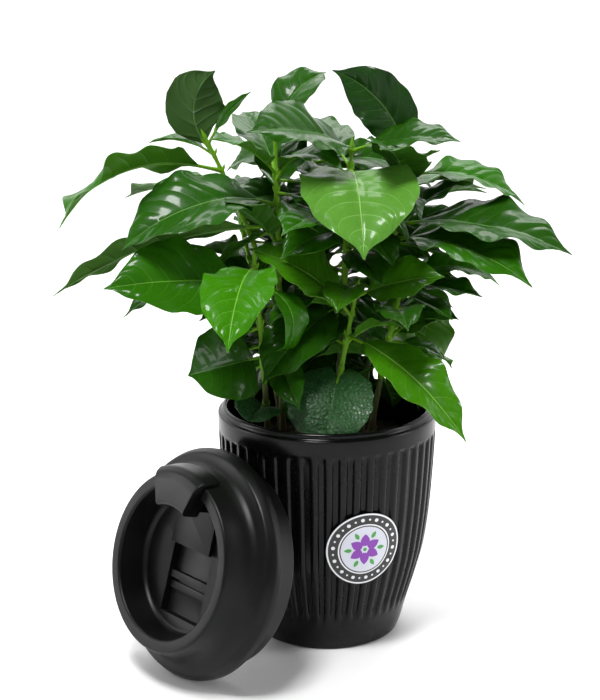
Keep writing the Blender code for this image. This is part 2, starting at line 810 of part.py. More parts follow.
def clean_skin(item):
    """Close split points and keep only the outermost skin, so no closed pocket is left inside."""
    work = bmesh.new()
    work.from_mesh(item.data)
    bmesh.ops.remove_doubles(work, verts=work.verts, dist=MERGE)
    left = set(work.verts)
    shells = []
    while left:
        grown = {left.pop()}
        front = list(grown)
        while front:
            vert = front.pop()
            for edge in vert.link_edges:
                other = edge.other_vert(vert)
                if other in left:
                    left.discard(other)
                    grown.add(other)
                    front.append(other)
        shells.append(grown)
    shells.sort(key=len)
    for shell in shells[:-1]:
        bmesh.ops.delete(work, geom=list(shell), context="VERTS")
    work.to_mesh(item.data)
    work.free()


def build_all():
    clear_scene()
    build_pot()
    build_soil()
    build_badge()
    build_lid()
    build_flap()
    for key, leaves in place_leaves().items():
        build_stem(key)
        build_mass(key, leaves)


build_all()
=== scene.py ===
"""Potted coffee plant: the looks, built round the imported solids."""

import math
import random

import bmesh
import bpy
import numpy as np
from bpy.props import FloatProperty, FloatVectorProperty, IntProperty, PointerProperty
from mathutils import Matrix, Vector
from mathutils.bvhtree import BVHTree


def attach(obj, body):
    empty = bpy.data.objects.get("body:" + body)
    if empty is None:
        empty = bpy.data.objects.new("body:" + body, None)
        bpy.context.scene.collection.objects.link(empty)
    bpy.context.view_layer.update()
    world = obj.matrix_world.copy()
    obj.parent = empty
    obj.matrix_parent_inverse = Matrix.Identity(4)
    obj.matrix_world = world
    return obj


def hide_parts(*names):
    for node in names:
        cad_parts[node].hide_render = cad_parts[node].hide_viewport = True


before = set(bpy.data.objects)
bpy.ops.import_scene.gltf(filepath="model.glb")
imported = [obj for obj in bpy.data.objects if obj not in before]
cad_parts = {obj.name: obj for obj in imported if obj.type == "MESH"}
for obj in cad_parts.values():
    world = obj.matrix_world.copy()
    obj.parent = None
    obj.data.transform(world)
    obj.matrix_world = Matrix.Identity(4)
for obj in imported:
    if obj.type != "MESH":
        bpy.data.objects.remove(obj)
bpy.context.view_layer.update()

bl_info = {
    "name": "Potted coffee plant",
    "version": (1, 0, 0),
    "blender": (4, 5, 0),
    "location": "View3D > Sidebar > Coffee plant",
    "description": "Builds a clump of young coffee plants in a ribbed cup-shaped pot, with its lid",
    "category": "Add Mesh",
}

MM = 0.001
TAU = 2.0 * math.pi

# ---------------------------------------------------------------- pot, soil and badge, millimetres
RIB_COUNT = 48
STEPS_PER_RIB = 12
RIB_LOW = 17.0
RIB_FULL = 26.0
RIB_HIGH = 120.4
SCOOP_LOW = 117.6
BAND_LOW = 122.0
BAND_HIGH = 130.0
BAND_RADIUS = 62.0
LIP_RADIUS = 59.8
POT_HEIGHT = 133.2
POT_WALL = 3.9
POT_FLOOR = 4.0
POT_SIDE = (
    (0.0, 40.6),
    (2.0, 41.8),
    (6.0, 43.4),
    (17.0, 46.4),
    (35.0, 51.8),
    (55.0, 56.6),
    (85.0, 60.0),
    (122.0, 62.0),
    (140.0, 62.4),
)
SOIL_TOP = 112.0
SOIL_SKIRT = 14.0
SOIL_SEED = 7
SOIL_STEPS = 180
SOIL_RINGS = 46
SOIL_SPREAD = 55.0
CRUMB_SPREAD = 54.0
BADGE_BEARING = -70.0
BADGE_HEIGHT = 66.0
BADGE_RADIUS = 21.6
BADGE_THICK = 0.62
BADGE_STEPS = 120
BEAD_RING = 0.825
PETALS = 6
PRINT_LOW = 0.5

# ---------------------------------------------------------------- lid, in its own frame, millimetres
LID_RADIUS = 63.0
LID_RING_RADIUS = 48.7
LID_WELL_RADIUS = 41.6
LID_HEIGHT = 27.0
LID_FLOOR = 10.0
LID_PLUG_RADIUS = 55.5
LID_PLUG_DEPTH = 15.0
LID_CENTRE = (-67.3, -62.4)
LID_BEARING = -139.5
LID_LEAN = 16.6
LID_LIFT = 0.2
FLAP_HALF_ANGLE = 22.0
FLAP_STEPS = 36
STRAP_HALF_WIDTH = 16.5
TROUGH_HALF_WIDTH = 16.5
TROUGH_BOTTOM = 5.0
TROUGH_LOW = -31.0
TROUGH_HIGH = 9.0
LID_STEPS = 160

# ---------------------------------------------------------------- plant, millimetres and degrees
STEM_RADIUS = 1.9
STEM_TIP_RADIUS = 1.0
STEM_FLARE = 1.55
WOOD_FULL = 140.0
WOOD_END = 190.0
PETIOLE_RADIUS = 0.85
PETIOLE_LEAST = 3.0
PETIOLE_SHARE = 0.11
BLADE_THICK_SHARE = 1.0 / 80.0
BLADE_FOLD = 0.22
BLADE_WAVE = 0.018
BLADE_WAVE_TURNS = 15.0
MIDRIB_STEPS = 48
LARGE_LEAF = 55.0
FULL_WIDTH_SHARE = 0.3
CRINKLED_ROWS = 80
CRINKLED_COLUMNS = 64
SMALL_COLUMNS = 16
LARGE_COLUMNS = 20
LAST_VEIN_ROW = 0.985
MIDRIB_END = 0.975
MIDRIB_RINGS = 26
BARK_SIDES = 22
SHOOT_SIDES = 14
MARGIN_VEINS = 0.35
BLADE_SECTIONS = (0.0, 0.1, 0.28, 0.48, 0.68, 0.86, 1.0)
INNER_SECTIONS = (0.0, 0.24, 0.6, 1.0)
SMALL_LEAF = 40.0
BLADE_OUTLINE = (
    (0.0, 0.08),
    (0.04, 0.2),
    (0.1, 0.42),
    (0.2, 0.74),
    (0.32, 0.94),
    (0.45, 1.0),
    (0.58, 0.95),
    (0.7, 0.8),
    (0.8, 0.6),
    (0.88, 0.36),
    (0.94, 0.15),
    (1.0, 0.03),
)
FINE_OUTLINE = (
    (0.0, 0.05),
    (0.04, 0.16),
    (0.1, 0.4),
    (0.2, 0.74),
    (0.32, 0.95),
    (0.45, 1.0),
    (0.58, 0.95),
    (0.7, 0.8),
    (0.8, 0.56),
    (0.87, 0.32),
    (0.92, 0.14),
    (0.96, 0.06),
    (1.0, 0.015),
)
BROAD_OUTLINE = (
    (0.0, 0.06),
    (0.05, 0.36),
    (0.13, 0.7),
    (0.27, 0.95),
    (0.43, 1.0),
    (0.62, 0.96),
    (0.77, 0.79),
    (0.86, 0.56),
    (0.92, 0.3),
    (0.96, 0.11),
    (1.0, 0.02),
)
ROUND_OUTLINE = (
    (0.0, 0.3),
    (0.08, 0.62),
    (0.2, 0.88),
    (0.45, 1.0),
    (0.7, 0.9),
    (0.86, 0.66),
    (0.95, 0.4),
    (1.0, 0.16),
)

# Each seedling: foot x, y; shoot tip x, y, z; curve of the stem; height of the bare lower stem.
SEEDLINGS = {
    "a": (-15, 12, -67, 0, 284, 1.6, 218),
    "b": (-25, -8, -29, -9, 290, 1.0, 150),
    "c": (5, 6, 13, 1, 279, 1.0, 180),
    "d": (19, 12, 45, 6, 268, 1.3, 196),
    "e": (1, -15, 16, -18, 204, 1.2, 134),
    "f": (-33, -16, -40, -27, 222, 1.2, 150),
    "g": (24, -8, 43, -10, 214, 1.2, 150),
    "h": (-2, 28, -8, 42, 268, 1.2, 150),
    "i": (-26, 22, -52, 42, 240, 1.2, 150),
    "j": (22, 30, 44, 46, 244, 1.2, 150),
}

# Leaves placed one by one:
# seedling, height, bearing, rise, length, width, droop, swing, roll, tone.
LEAVES = (
    ("a", 275, 180, 53, 46, 33, 10, 92, 82, "slate"),
    ("a", 281, -30, 58, 32, 9, 30, 0, 60, "deep"),
    ("a", 275, 160, 34, 34, 17, 50, 0, 0, "mid"),
    ("a", 266, -149, 15, 108, 34, 62, 0, 35, "mid"),
    ("a", 245, 145, 18, 74, 34, 45, 0, 0, "grey"),
    ("f", 217, -100, 8, 72, 39, 66, 0, 0, "bright"),
    ("b", 249, -142, 16, 86, 46, 66, 0, -25, "grey"),
    ("b", 237, -163, 0, 118, 26, 38, 0, 45, "grey"),
    ("b", 226, -130, 50, 46, 30, 35, 0, 0, "deep"),
    ("f", 207, -146, 20, 77, 48, 30, 0, -45, "mid"),
    ("b", 266, -126, 40, 50, 26, 35, 0, -15, "mid"),
    ("b", 266, 112, 45, 52, 30, 40, 0, 0, "deep"),
    ("b", 262, -57, 50, 50, 24, 90, 0, 20, "mid"),
    ("b", 288, 12, 70, 42, 28, 70, 0, 35, "deep"),
    ("b", 250, 85, 50, 56, 30, 40, 0, 0, "deep"),
    ("b", 236, 20, 10, 50, 28, 50, 0, 20, "deep"),
    ("c", 277, -142, 30, 80, 40, 32, 0, -38, "deep"),
    ("c", 277, -25, 20, 54, 30, 30, 0, 20, "deep"),
    # This leaf takes the "pale" tone, whose lighter green is painted sheen.
    ("c", 266, -86, 6, 76, 63, 70, 0, 0, "pale"),
    ("e", 188, -155, 52, 62, 38, 50, 0, -45, "fresh"),
    ("c", 268, 120, 30, 56, 34, 30, 0, 0, "deep"),
    ("e", 199, -32, 28, 46, 29, 34, 0, 45, "fresh"),
    ("c", 231, -140, 12, 46, 28, 50, 0, -25, "mid"),
    ("c", 222, -51, -5, 40, 26, 40, 0, 10, "deep"),
    ("c", 190, -132, -8, 64, 36, 50, 0, -20, "deep"),
    ("d", 266, 180, 78, 63, 31, 10, 58, -80, "slate"),
    ("d", 263, 0, 6, 62, 32, 50, 0, 15, "mid"),
    ("d", 267, -50, 35, 22, 9, 20, 0, 0, "fresh"),
    ("d", 235, -26, 16, 90, 46, 36, 0, 15, "deep"),
    ("d", 227, -50, 14, 82, 42, 44, 0, 12, "mid"),
    ("d", 226, 12, 5, 66, 36, 60, 0, 20, "deep"),
    ("j", 204, -60, -50, 64, 48, 25, 0, 0, "olive"),
    ("i", 198, -160, 10, 72, 24, 50, 0, 0, "deep"),
    ("e", 203, -120, 20, 30, 24, 80, 0, 0, "fresh"),
    ("e", 177, -50, -6, 86, 32, 48, 0, 15, "fresh"),
    ("f", 205, -20, -5, 48, 20, 165, 0, 0, "mid"),
    ("f", 166, -128, 4, 48, 42, 15, 0, -60, "deep"),
    ("g", 173, -12, 42, 32, 22, 30, 0, 40, "olive"),
    ("h", 192, 62, -32, 60, 38, 40, 0, 0, "deep"),
    ("h", 190, 128, -32, 60, 38, 40, 0, 0, "deep"),
    ("i", 188, 70, -34, 58, 36, 40, 0, 0, "deep"),
    ("j", 188, 100, -34, 58, 36, 40, 0, 0, "deep"),
    ("h", 172, 95, -44, 44, 34, 30, 0, 0, "deep"),
    ("j", 168, 150, -44, 40, 30, 30, 0, 0, "deep"),
)
ROUND_LEAVES = (
    ("e", 158, -106, -32, 40, 48, 38, 0, 0, "seed"),
    ("e", 146, 93, 10, 30, 32, 30, 0, 0, "seed"),
    ("f", 137, -108, 0, 21, 26, 40, 0, -15, "seed"),
    ("g", 146, 150, 0, 26, 28, 40, 0, 0, "seed"),
)

# Seeded leaves: seedling, lowest height, highest height, pairs, first bearing, leaf length.
PAIRS = (
    ("h", 152, 264, 6, 70, 98),
    ("i", 152, 238, 6, 110, 94),
    ("j", 152, 242, 6, 60, 94),
    ("a", 232, 255, 2, 80, 80),
    ("c", 186, 250, 4, 50, 84),
    ("d", 202, 252, 3, 75, 88),
    ("g", 160, 208, 3, 10, 72),
    ("b", 160, 206, 2, 60, 76),
    ("e", 172, 185, 1, 150, 60),
)
# Height, and the furthest that a seeded leaf reaches from the pot's axis.
CROWN = (
    (0.0, 62.0),
    (136.0, 74.0),
    (170.0, 86.0),
    (192.0, 96.0),
    (212.0, 112.0),
    (252.0, 118.0),
    (268.0, 88.0),
    (290.0, 66.0),
    (318.0, 46.0),
    (340.0, 10.0),
)
PAIR_TONES = ("deep", "deep", "mid", "grey")
TRIES = 30
SEED = 41
PHASE_END = 6.28
LEAF_ROOM = 0.45
SHADE_ROOM = 0.3
SHADE_REACH = 0.86

# Small leaves that thicken the shade inside the crown:
# seedling, lowest height, highest height, number, middle bearing, spread, leaf length.
SHADE = (
    ("j", 150, 170, 8, 180, 60, 36),
    ("h", 150, 170, 8, 0, 60, 36),
    ("h", 150, 170, 6, 180, 60, 36),
    ("i", 150, 170, 6, 0, 60, 36),
    ("g", 151, 168, 6, 90, 70, 34),
    ("c", 186, 234, 9, 90, 180, 34),
    ("h", 152, 262, 26, 90, 180, 50),
    ("i", 146, 236, 18, 100, 170, 48),
    ("j", 146, 240, 18, 80, 170, 48),
    ("b", 156, 266, 16, 90, 150, 44),
    ("c", 184, 262, 12, 90, 150, 42),
    ("d", 200, 256, 8, 90, 120, 44),
    ("g", 155, 208, 8, 60, 110, 42),
    ("a", 222, 258, 5, 30, 120, 40),
    ("f", 155, 212, 5, 120, 90, 38),
)

# Leaf tones: upper side, underside, vein.
TONES = {
    "deep": ((0.011, 0.056, 0.0015), (0.025, 0.095, 0.005), (0.05, 0.17, 0.013)),
    "mid": ((0.017, 0.092, 0.0015), (0.04, 0.145, 0.006), (0.1, 0.28, 0.02)),
    "slate": ((0.009, 0.036, 0.005), (0.03, 0.075, 0.014), (0.06, 0.15, 0.03)),
    "grey": ((0.015, 0.072, 0.004), (0.045, 0.125, 0.015), (0.09, 0.22, 0.035)),
    "olive": ((0.021, 0.08, 0.0015), (0.036, 0.11, 0.004), (0.09, 0.2, 0.015)),
    "fresh": ((0.032, 0.135, 0.002), (0.07, 0.22, 0.008), (0.17, 0.38, 0.045)),
    # The "pale" tone is a lit copy of the leaf green: its lighter colours are painted sheen.
    "pale": ((0.07, 0.2, 0.022), (0.09, 0.25, 0.03), (0.24, 0.46, 0.11)),
    "bright": ((0.03, 0.155, 0.001), (0.08, 0.28, 0.005), (0.17, 0.45, 0.03)),
    "seed": ((0.008, 0.038, 0.008), (0.03, 0.09, 0.012), (0.02, 0.08, 0.014)),
}
LEAF_COAT = 0.24
VEIN_SHARE = 0.3
# Side-vein share for the "pale" tone, whose lightness is painted sheen.
PALE_VEIN_SHARE = 0.6


# ================================================================ sizes and colours a user may change

def colour_prop(**words):
    return FloatVectorProperty(size=3, subtype="COLOR", min=0.0, max=1.0, **words)


class PotLooks(bpy.types.PropertyGroup):
    rib_depth: FloatProperty(
        name="Rib depth", description="How far the flutes lie below the ribs",
        default=1.5 * MM, min=0.0, max=2.0 * MM, unit="LENGTH")
    plastic: colour_prop(
        name="Plastic", description="Colour of the pot's plastic", default=(0.0022, 0.0022, 0.0024))
    gloss: FloatProperty(
        name="Roughness", description="Roughness of the ribbed side", default=0.25, min=0.05, max=1.0)
    soil: colour_prop(
        name="Soil", description="Colour of the moist soil", default=(0.026, 0.017, 0.011))
    crumbs: IntProperty(name="Crumbs", description="Loose crumbs on the soil", default=420, min=0, max=900)


class LidLooks(bpy.types.PropertyGroup):
    plastic: colour_prop(
        name="Plastic", description="Colour of the lid's plastic", default=(0.0022, 0.0022, 0.0024))
    gloss: FloatProperty(
        name="Roughness", description="Roughness of the lid", default=0.38, min=0.05, max=1.0)
    bevel: FloatProperty(
        name="Edge rounding", description="Rounding of the moulded edges",
        default=0.45 * MM, min=0.0, max=1.0 * MM, unit="LENGTH")


class BadgeLooks(bpy.types.PropertyGroup):
    petal: colour_prop(
        name="Petals", description="Colour of the rosette", default=(0.23, 0.035, 0.4))
    leaf: colour_prop(
        name="Leaves", description="Colour of the small leaves", default=(0.05, 0.32, 0.05))
    paper: colour_prop(
        name="Ground", description="Colour of the pale middle", default=(0.66, 0.68, 0.76))
    beads: IntProperty(name="Beads", description="Beads round the dark band", default=28, min=6, max=60)


class PlantLooks(bpy.types.PropertyGroup):
    leaf_thick: FloatProperty(
        name="Leaf thickness", description="Thickness of a leaf", default=0.42 * MM, min=0.1 * MM,
        max=1.0 * MM, unit="LENGTH")
    quilting: FloatProperty(
        name="Quilting", description="Height of the swelling between side veins as a share of the leaf",
        default=0.0085, min=0.0, max=0.03)
    ripple: FloatProperty(
        name="Ripple", description="Fine waves along the leaf's edge as a share of its length",
        default=0.021, min=0.0, max=0.04)
    vein_pairs: IntProperty(
        name="Side veins", description="Pairs of side veins in a leaf", default=8, min=4, max=14)
    gloss: FloatProperty(
        name="Roughness", description="Roughness of a leaf's upper side", default=0.3, min=0.05, max=1.0)
    bark: colour_prop(
        name="Bark", description="Colour of the woody foot", default=(0.075, 0.055, 0.018))
    shoot: colour_prop(
        name="Shoot", description="Colour of the green shoot", default=(0.11, 0.27, 0.008))


class StudioLooks(bpy.types.PropertyGroup):
    floor: colour_prop(
        name="Floor", description="Colour of the floor and backdrop", default=(0.9, 0.9, 0.9))
    key: FloatProperty(name="Key light", description="Power of the large soft light", default=13.0, min=0.0)
    fill: FloatProperty(name="Fill", description="Strength of the even surround", default=0.11, min=0.0)


# ================================================================ shader maths

NOISE_LOW = 0.3
NOISE_HIGH = 0.7


class Wire:
    """One socket of a node tree, or a plain value, that can be used in sums."""

    def __init__(self, tree, socket):
        self.tree = tree
        self.socket = socket

    def maths(self, operation, other, swap=False):
        values = (other, self) if swap else (self, other)
        return self.tree.node("ShaderNodeMath", {"operation": operation}, dict(enumerate(values)))

    def __add__(self, other):
        return self.maths("ADD", other)

    __radd__ = __add__

    def __sub__(self, other):
        return self.maths("SUBTRACT", other)

    def __rsub__(self, other):
        return self.maths("SUBTRACT", other, True)

    def __mul__(self, other):
        return self.maths("MULTIPLY", other)

    __rmul__ = __mul__


class Paint:
    """A Principled material whose node tree is written as expressions."""

    def __init__(self, name, roughness=0.5, **fixed):
        self.material = bpy.data.materials.new(name)
        self.material.use_nodes = True
        self.nodes = self.material.node_tree.nodes
        self.links = self.material.node_tree.links
        self.shader = self.nodes["Principled BSDF"]
        self.shader.inputs["Roughness"].default_value = roughness
        for key, value in fixed.items():
            self.shader.inputs[key.replace("_", " ")].default_value = value

    def node(self, kind, settings=None, inputs=None, output=0):
        made = self.nodes.new(kind)
        for key, value in (settings or {}).items():
            if key == "stops":
                ramp = made.color_ramp
                while len(ramp.elements) < len(value):
                    ramp.elements.new(0.5)
                for stop, (spot, shade) in zip(ramp.elements, value):
                    stop.position = spot
                    stop.color = (*shade, 1.0) if len(shade) == 3 else shade
            else:
                setattr(made, key, value)
        for key, value in (inputs or {}).items():
            self.feed(made.inputs[key], value)
        return Wire(self, made.outputs[output])

    def feed(self, socket, value):
        if isinstance(value, Wire):
            self.links.new(value.socket, socket)
        elif socket.type == "RGBA" and len(value) == 3:
            socket.default_value = (*value, 1.0)
        else:
            socket.default_value = value

    def set(self, **sockets):
        for key, value in sockets.items():
            self.feed(self.shader.inputs[key.replace("_", " ")], value)
        return self

    def place(self, kind="Object"):
        return self.node("ShaderNodeTexCoord", output=kind)

    def noise(self, scale, detail=3.0, where=None, roughness=0.5):
        wires = {"Scale": scale, "Detail": detail, "Roughness": roughness}
        wires["Vector"] = where or self.place()
        return self.node("ShaderNodeTexNoise", None, wires)

    def blend(self, share, first, second):
        return self.node("ShaderNodeMix", {"data_type": "RGBA"}, {0: share, 6: first, 7: second}, 2)

    def shades(self, mask, colour, low, high):
        """One colour, scaled by low to high as the mask rises."""
        return self.blend(mask, scaled(colour, low), scaled(colour, high))

    def spread(self, noise, to_low, to_high):
        """The middle of a noise, spread over a range."""
        return self.between(noise, NOISE_LOW, NOISE_HIGH, to_low, to_high)

    def between(self, value, low, high, to_low=0.0, to_high=1.0):
        return self.node("ShaderNodeMapRange", {"clamp": True}, {
            "Value": value, "From Min": low, "From Max": high, "To Min": to_low, "To Max": to_high})

    def relief(self, height, depth, strength=1.0):
        bump = self.node("ShaderNodeBump", None, {"Strength": strength, "Distance": depth, "Height": height})
        return self.set(Normal=bump)


def scaled(colour, factor):
    return tuple(min(1.0, c * factor) for c in colour)


def between_colours(first, second, share):
    return tuple(a + (b - a) * share for a, b in zip(first, second))


PAINTS = {}


def paint(name, maker, *values):
    """The material of this name, made the first time it is asked for."""
    if name not in PAINTS:
        PAINTS[name] = maker(name, *values).material
    return PAINTS[name]


def moulded_plastic(name, colour, roughness, grain=0.02 * MM):
    look = Paint(name, roughness, Specular_IOR_Level=0.2)
    cloud = look.noise(38.0, 4.0)
    fine = look.noise(2600.0, 2.0)
    dust = look.between(look.noise(900.0, 2.0), 0.66, 0.78)
    look.set(
        Base_Color=look.blend(dust * 0.35, look.shades(cloud, colour, 0.85, 1.2),
                              scaled(colour, 3.0)),
        Roughness=look.spread(cloud, roughness - 0.05, roughness + 0.06) + dust * 0.08,
    )
    return look.relief(fine, grain, 0.6)


def soil_paint(name, colour):
    look = Paint(name, 0.9)
    crumb = look.noise(420.0, 6.0)
    wet = look.noise(60.0, 3.0)
    look.set(
        Base_Color=look.shades(crumb, colour, 0.4, 2.1),
        Roughness=look.between(wet, 0.35, 0.65, 0.6, 0.95),
    )
    return look.relief(crumb, 1.2 * MM)


def leaf_paint(name, colour, roughness, gloss):
    """Waxy upper side of a leaf: cloudy green, faint mottling, a film of gloss over it."""
    look = Paint(name, roughness, Coat_Weight=gloss, Coat_Roughness=0.09, Coat_IOR=1.42,
                 Specular_IOR_Level=0.1)
    cloud = look.noise(34.0, 3.0)
    mottle = look.noise(700.0, 4.0)
    green = look.shades(cloud, colour, 0.95, 1.4)
    green = look.blend(look.between(mottle, 0.45, 0.8, 0.0, 0.25), green, scaled(colour, 1.8))
    look.set(Base_Color=green, Roughness=look.spread(mottle, roughness - 0.04, roughness + 0.06))
    return look.relief(look.noise(1500.0, 3.0), 0.03 * MM, 0.4)


def crinkled_paint(name, colour, roughness, gloss):
    """Finely puckered upper side of a seed leaf, with painted highlights on the raised pucker crests."""
    look = Paint(name, roughness + 0.12, Coat_Weight=gloss, Coat_Roughness=0.2, Specular_IOR_Level=0.3)
    pucker = look.node("ShaderNodeTexVoronoi", {"feature": "SMOOTH_F1"}, {
        "Vector": look.place(), "Scale": 560.0, "Smoothness": 0.8, "Randomness": 1.0})
    cloud = look.noise(60.0, 3.0)
    green = look.shades(cloud, colour, 0.7, 1.25)
    # Painted highlight: the raised pucker crests are painted up to 1.9 times lighter than the leaf green.
    green = look.blend(look.between(pucker, 0.3, 0.75, 0.0, 0.7), scaled(colour, 1.9), green)
    look.set(Base_Color=green, Roughness=look.spread(cloud, roughness + 0.04, roughness + 0.16))
    return look.relief(look.noise(900.0, 3.0) - pucker, 0.7 * MM, 0.8)


def under_paint(name, colour):
    look = Paint(name, 0.5, Specular_IOR_Level=0.12)
    cloud = look.noise(60.0, 3.0)
    mesh = look.noise(1300.0, 3.0)
    look.set(
        Base_Color=look.shades(cloud, colour, 0.85, 1.15),
        Roughness=look.spread(mesh, 0.44, 0.6),
    )
    return look.relief(mesh, 0.06 * MM, 0.5)


def vein_paint(name, colour):
    look = Paint(name, 0.38, Specular_IOR_Level=0.3)
    look.set(Base_Color=look.shades(look.noise(180.0, 2.0), colour, 0.85, 1.15))
    return look


def shoot_paint(name, colour):
    look = Paint(name, 0.42, Specular_IOR_Level=0.18)
    cloud = look.noise(150.0, 3.0)
    streak = look.noise(1.0, 3.0, look.node("ShaderNodeMapping", None, {
        "Vector": look.place(), "Scale": (1800.0, 1800.0, 90.0)}))
    look.set(
        Base_Color=look.blend(streak, look.blend(cloud, scaled(colour, 0.7), colour), scaled(colour, 1.35)),
        Roughness=look.spread(cloud, 0.36, 0.52),
    )
    return look.relief(streak, 0.1 * MM, 0.7)


def bark_paint(name, wood, green):
    """Brown cracked bark at the foot that passes to green higher up."""
    look = Paint(name, 0.7)
    where = look.place()
    height = look.node("ShaderNodeSeparateXYZ", None, {0: where}, "Z")
    streak = look.noise(1.0, 5.0, look.node("ShaderNodeMapping", None, {
        "Vector": where, "Scale": (1500.0, 1500.0, 120.0)}))
    patch = look.noise(190.0, 3.0)
    green_share = look.between(height + patch * 0.02, 0.13, 0.185)
    tone = look.blend(green_share, look.shades(streak, wood, 0.45, 1.6),
                      look.shades(patch, green, 0.45, 0.85))
    look.set(Base_Color=tone, Roughness=look.between(green_share, 0.0, 1.0, 0.78, 0.5))
    return look.relief(streak, 0.35 * MM, 0.9)


def printed_paint(name, colour):
    look = Paint(name, 0.34, Coat_Weight=0.15, Coat_Roughness=0.2)
    speck = look.noise(3200.0, 2.0)
    look.set(
        Base_Color=look.shades(speck, colour, 0.93, 1.05),
        Roughness=look.spread(speck, 0.3, 0.4),
    )
    return look


# ================================================================ mesh helpers

def angles(count):
    return [TAU * i / count for i in range(count)]


def heading(bearing, rise):
    """Unit vector of a compass bearing and a rise, both in degrees."""
    turn = math.radians(bearing)
    lift = math.radians(rise)
    return Vector((math.cos(turn) * math.cos(lift), math.sin(turn) * math.cos(lift), math.sin(lift)))


def level_side(bearing):
    """Level unit vector to the left of a bearing in degrees."""
    turn = math.radians(bearing)
    return Vector((-math.sin(turn), math.cos(turn), 0.0))


def strip(low, high, count):
    """Quads between two closed rings of vertices that start at these numbers."""
    return [(low + i, high + i, high + (i + 1) % count, low + (i + 1) % count) for i in range(count)]


def make_piece(name, verts, faces, materials, slots=None, smooth=True, sharp=None):
    mesh = bpy.data.meshes.new(name)
    mesh.from_pydata([tuple(v) for v in verts], [], faces)
    for material in materials:
        mesh.materials.append(material)
    if slots is not None:
        mesh.polygons.foreach_set("material_index", slots)
    if smooth:
        mesh.shade_smooth()
        if sharp is not None:
            mesh.set_sharp_from_angle(angle=math.radians(sharp))
    item = bpy.data.objects.new(name, mesh)
    bpy.context.scene.collection.objects.link(item)
    return item


def place_piece(item, slot_name, *nodes):
    """Ride on the one body and stand for the named nodes; the slot's name is not used."""
    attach(item, "root")
    if nodes:
        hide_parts(*nodes)
    return item


def lerp_table(table, x):
    """Value at x on straight lines through a table's points."""
    for (x0, y0), (x1, y1) in zip(table, table[1:]):
        if x <= x1:
            return y0 + (y1 - y0) * (x - x0) / (x1 - x0)
    return table[-1][1]


def smooth_table(table, xs):
    """Smooth curve through a table's points, never outside its neighbours."""
    tx = np.array([p[0] for p in table])
    ty = np.array([p[1] for p in table])
    steps = np.diff(tx)
    slopes = np.diff(ty) / steps
    tangents = np.zeros(len(tx))
    tangents[0] = slopes[0]
    tangents[-1] = slopes[-1]
    for k in range(1, len(tx) - 1):
        if slopes[k - 1] * slopes[k] > 0.0:
            tangents[k] = 2.0 / (1.0 / slopes[k - 1] + 1.0 / slopes[k])
    xs = np.clip(np.asarray(xs, float), tx[0], tx[-1])
    k = np.clip(np.searchsorted(tx, xs, side="right") - 1, 0, len(steps) - 1)
    t = (xs - tx[k]) / steps[k]
    h00 = 2 * t ** 3 - 3 * t ** 2 + 1
    h10 = t ** 3 - 2 * t ** 2 + t
    h01 = -2 * t ** 3 + 3 * t ** 2
    h11 = t ** 3 - t ** 2
    return h00 * ty[k] + h10 * steps[k] * tangents[k] + h01 * ty[k + 1] + h11 * steps[k] * tangents[k + 1]


def loft(rings, close_ends=True):
    """Quads between rings of equal count, with a fan or a cap at both ends."""
    count = len(rings[0])
    verts = [p for ring in rings for p in ring]
    faces = []
    for k in range(len(rings) - 1):
        for i in range(count):
            j = (i + 1) % count
            faces.append((k * count + i, k * count + j, (k + 1) * count + j, (k + 1) * count + i))
    if close_ends:
        faces.append(tuple(reversed(range(count))))
        faces.append(tuple((len(rings) - 1) * count + i for i in range(count)))
    return verts, faces


class Heap:
    """Collects closed skins into one mesh."""

    def __init__(self):
        self.verts = []
        self.faces = []
        self.slots = []

    def add(self, verts, faces, slots):
        base = sum(len(v) for v in self.verts)
        self.verts.append(np.asarray(verts, float))
        self.faces.extend(tuple(base + i for i in face) for face in faces)
        self.slots.extend([slots] * len(faces) if isinstance(slots, int) else slots)

    def piece(self, name, materials, sharp=None):
        return make_piece(name, np.concatenate(self.verts), self.faces, materials, self.slots, True, sharp)


def arc(cx, cz, radius, start, end, steps):
    """Points of an arc in the profile plane, degrees."""
    out = []
    for k in range(steps + 1):
        angle = math.radians(start + (end - start) * k / steps)
        out.append((cx + radius * math.cos(angle), cz + radius * math.sin(angle)))
    return out


def rounded(points, radius, steps=3):
    """Profile with each inner corner replaced by a small curve."""
    out = [points[0]]
    for before, here, after in zip(points, points[1:], points[2:]):
        a = Vector(before) - Vector(here)
        b = Vector(after) - Vector(here)
        reach = min(radius, a.length * 0.45, b.length * 0.45)
        p = Vector(here) + a.normalized() * reach
        q = Vector(here) + b.normalized() * reach
        for k in range(steps + 1):
            t = k / steps
            spot = p * (1 - t) ** 2 + Vector(here) * (2 * t * (1 - t)) + q * t ** 2
            out.append((spot.x, spot.y))
    out.append(points[-1])
    return out


def around_axis(radius, z, angle):
    """Point in metres from a radius and a height in millimetres."""
    return (radius * math.cos(angle) * MM, radius * math.sin(angle) * MM, z * MM)


def revolve(profile, steps):
    """Closed skin of revolution from (radius, height) in millimetres, from pole to pole."""
    rings = [[around_axis(radius, z, angle) for angle in angles(steps)] for radius, z in profile]
    verts, faces = loft(rings, False)
    last = (len(rings) - 1) * steps
    bottom = len(verts)
    verts.append((0.0, 0.0, profile[0][1] * MM))
    verts.append((0.0, 0.0, profile[-1][1] * MM))
    for i in range(steps):
        j = (i + 1) % steps
        faces.append((bottom, j, i))
        faces.append((bottom + 1, last + i, last + j))
    return verts, faces


# ================================================================ pot, soil and badge

def side_radius(z):
    return float(smooth_table(POT_SIDE, [z])[0])


def inner_radius(z):
    return side_radius(min(z, BAND_LOW)) - POT_WALL


def smooth_step(x, low, high):
    t = min(1.0, max(0.0, (x - low) / (high - low)))
    return t * t * (3.0 - 2.0 * t)


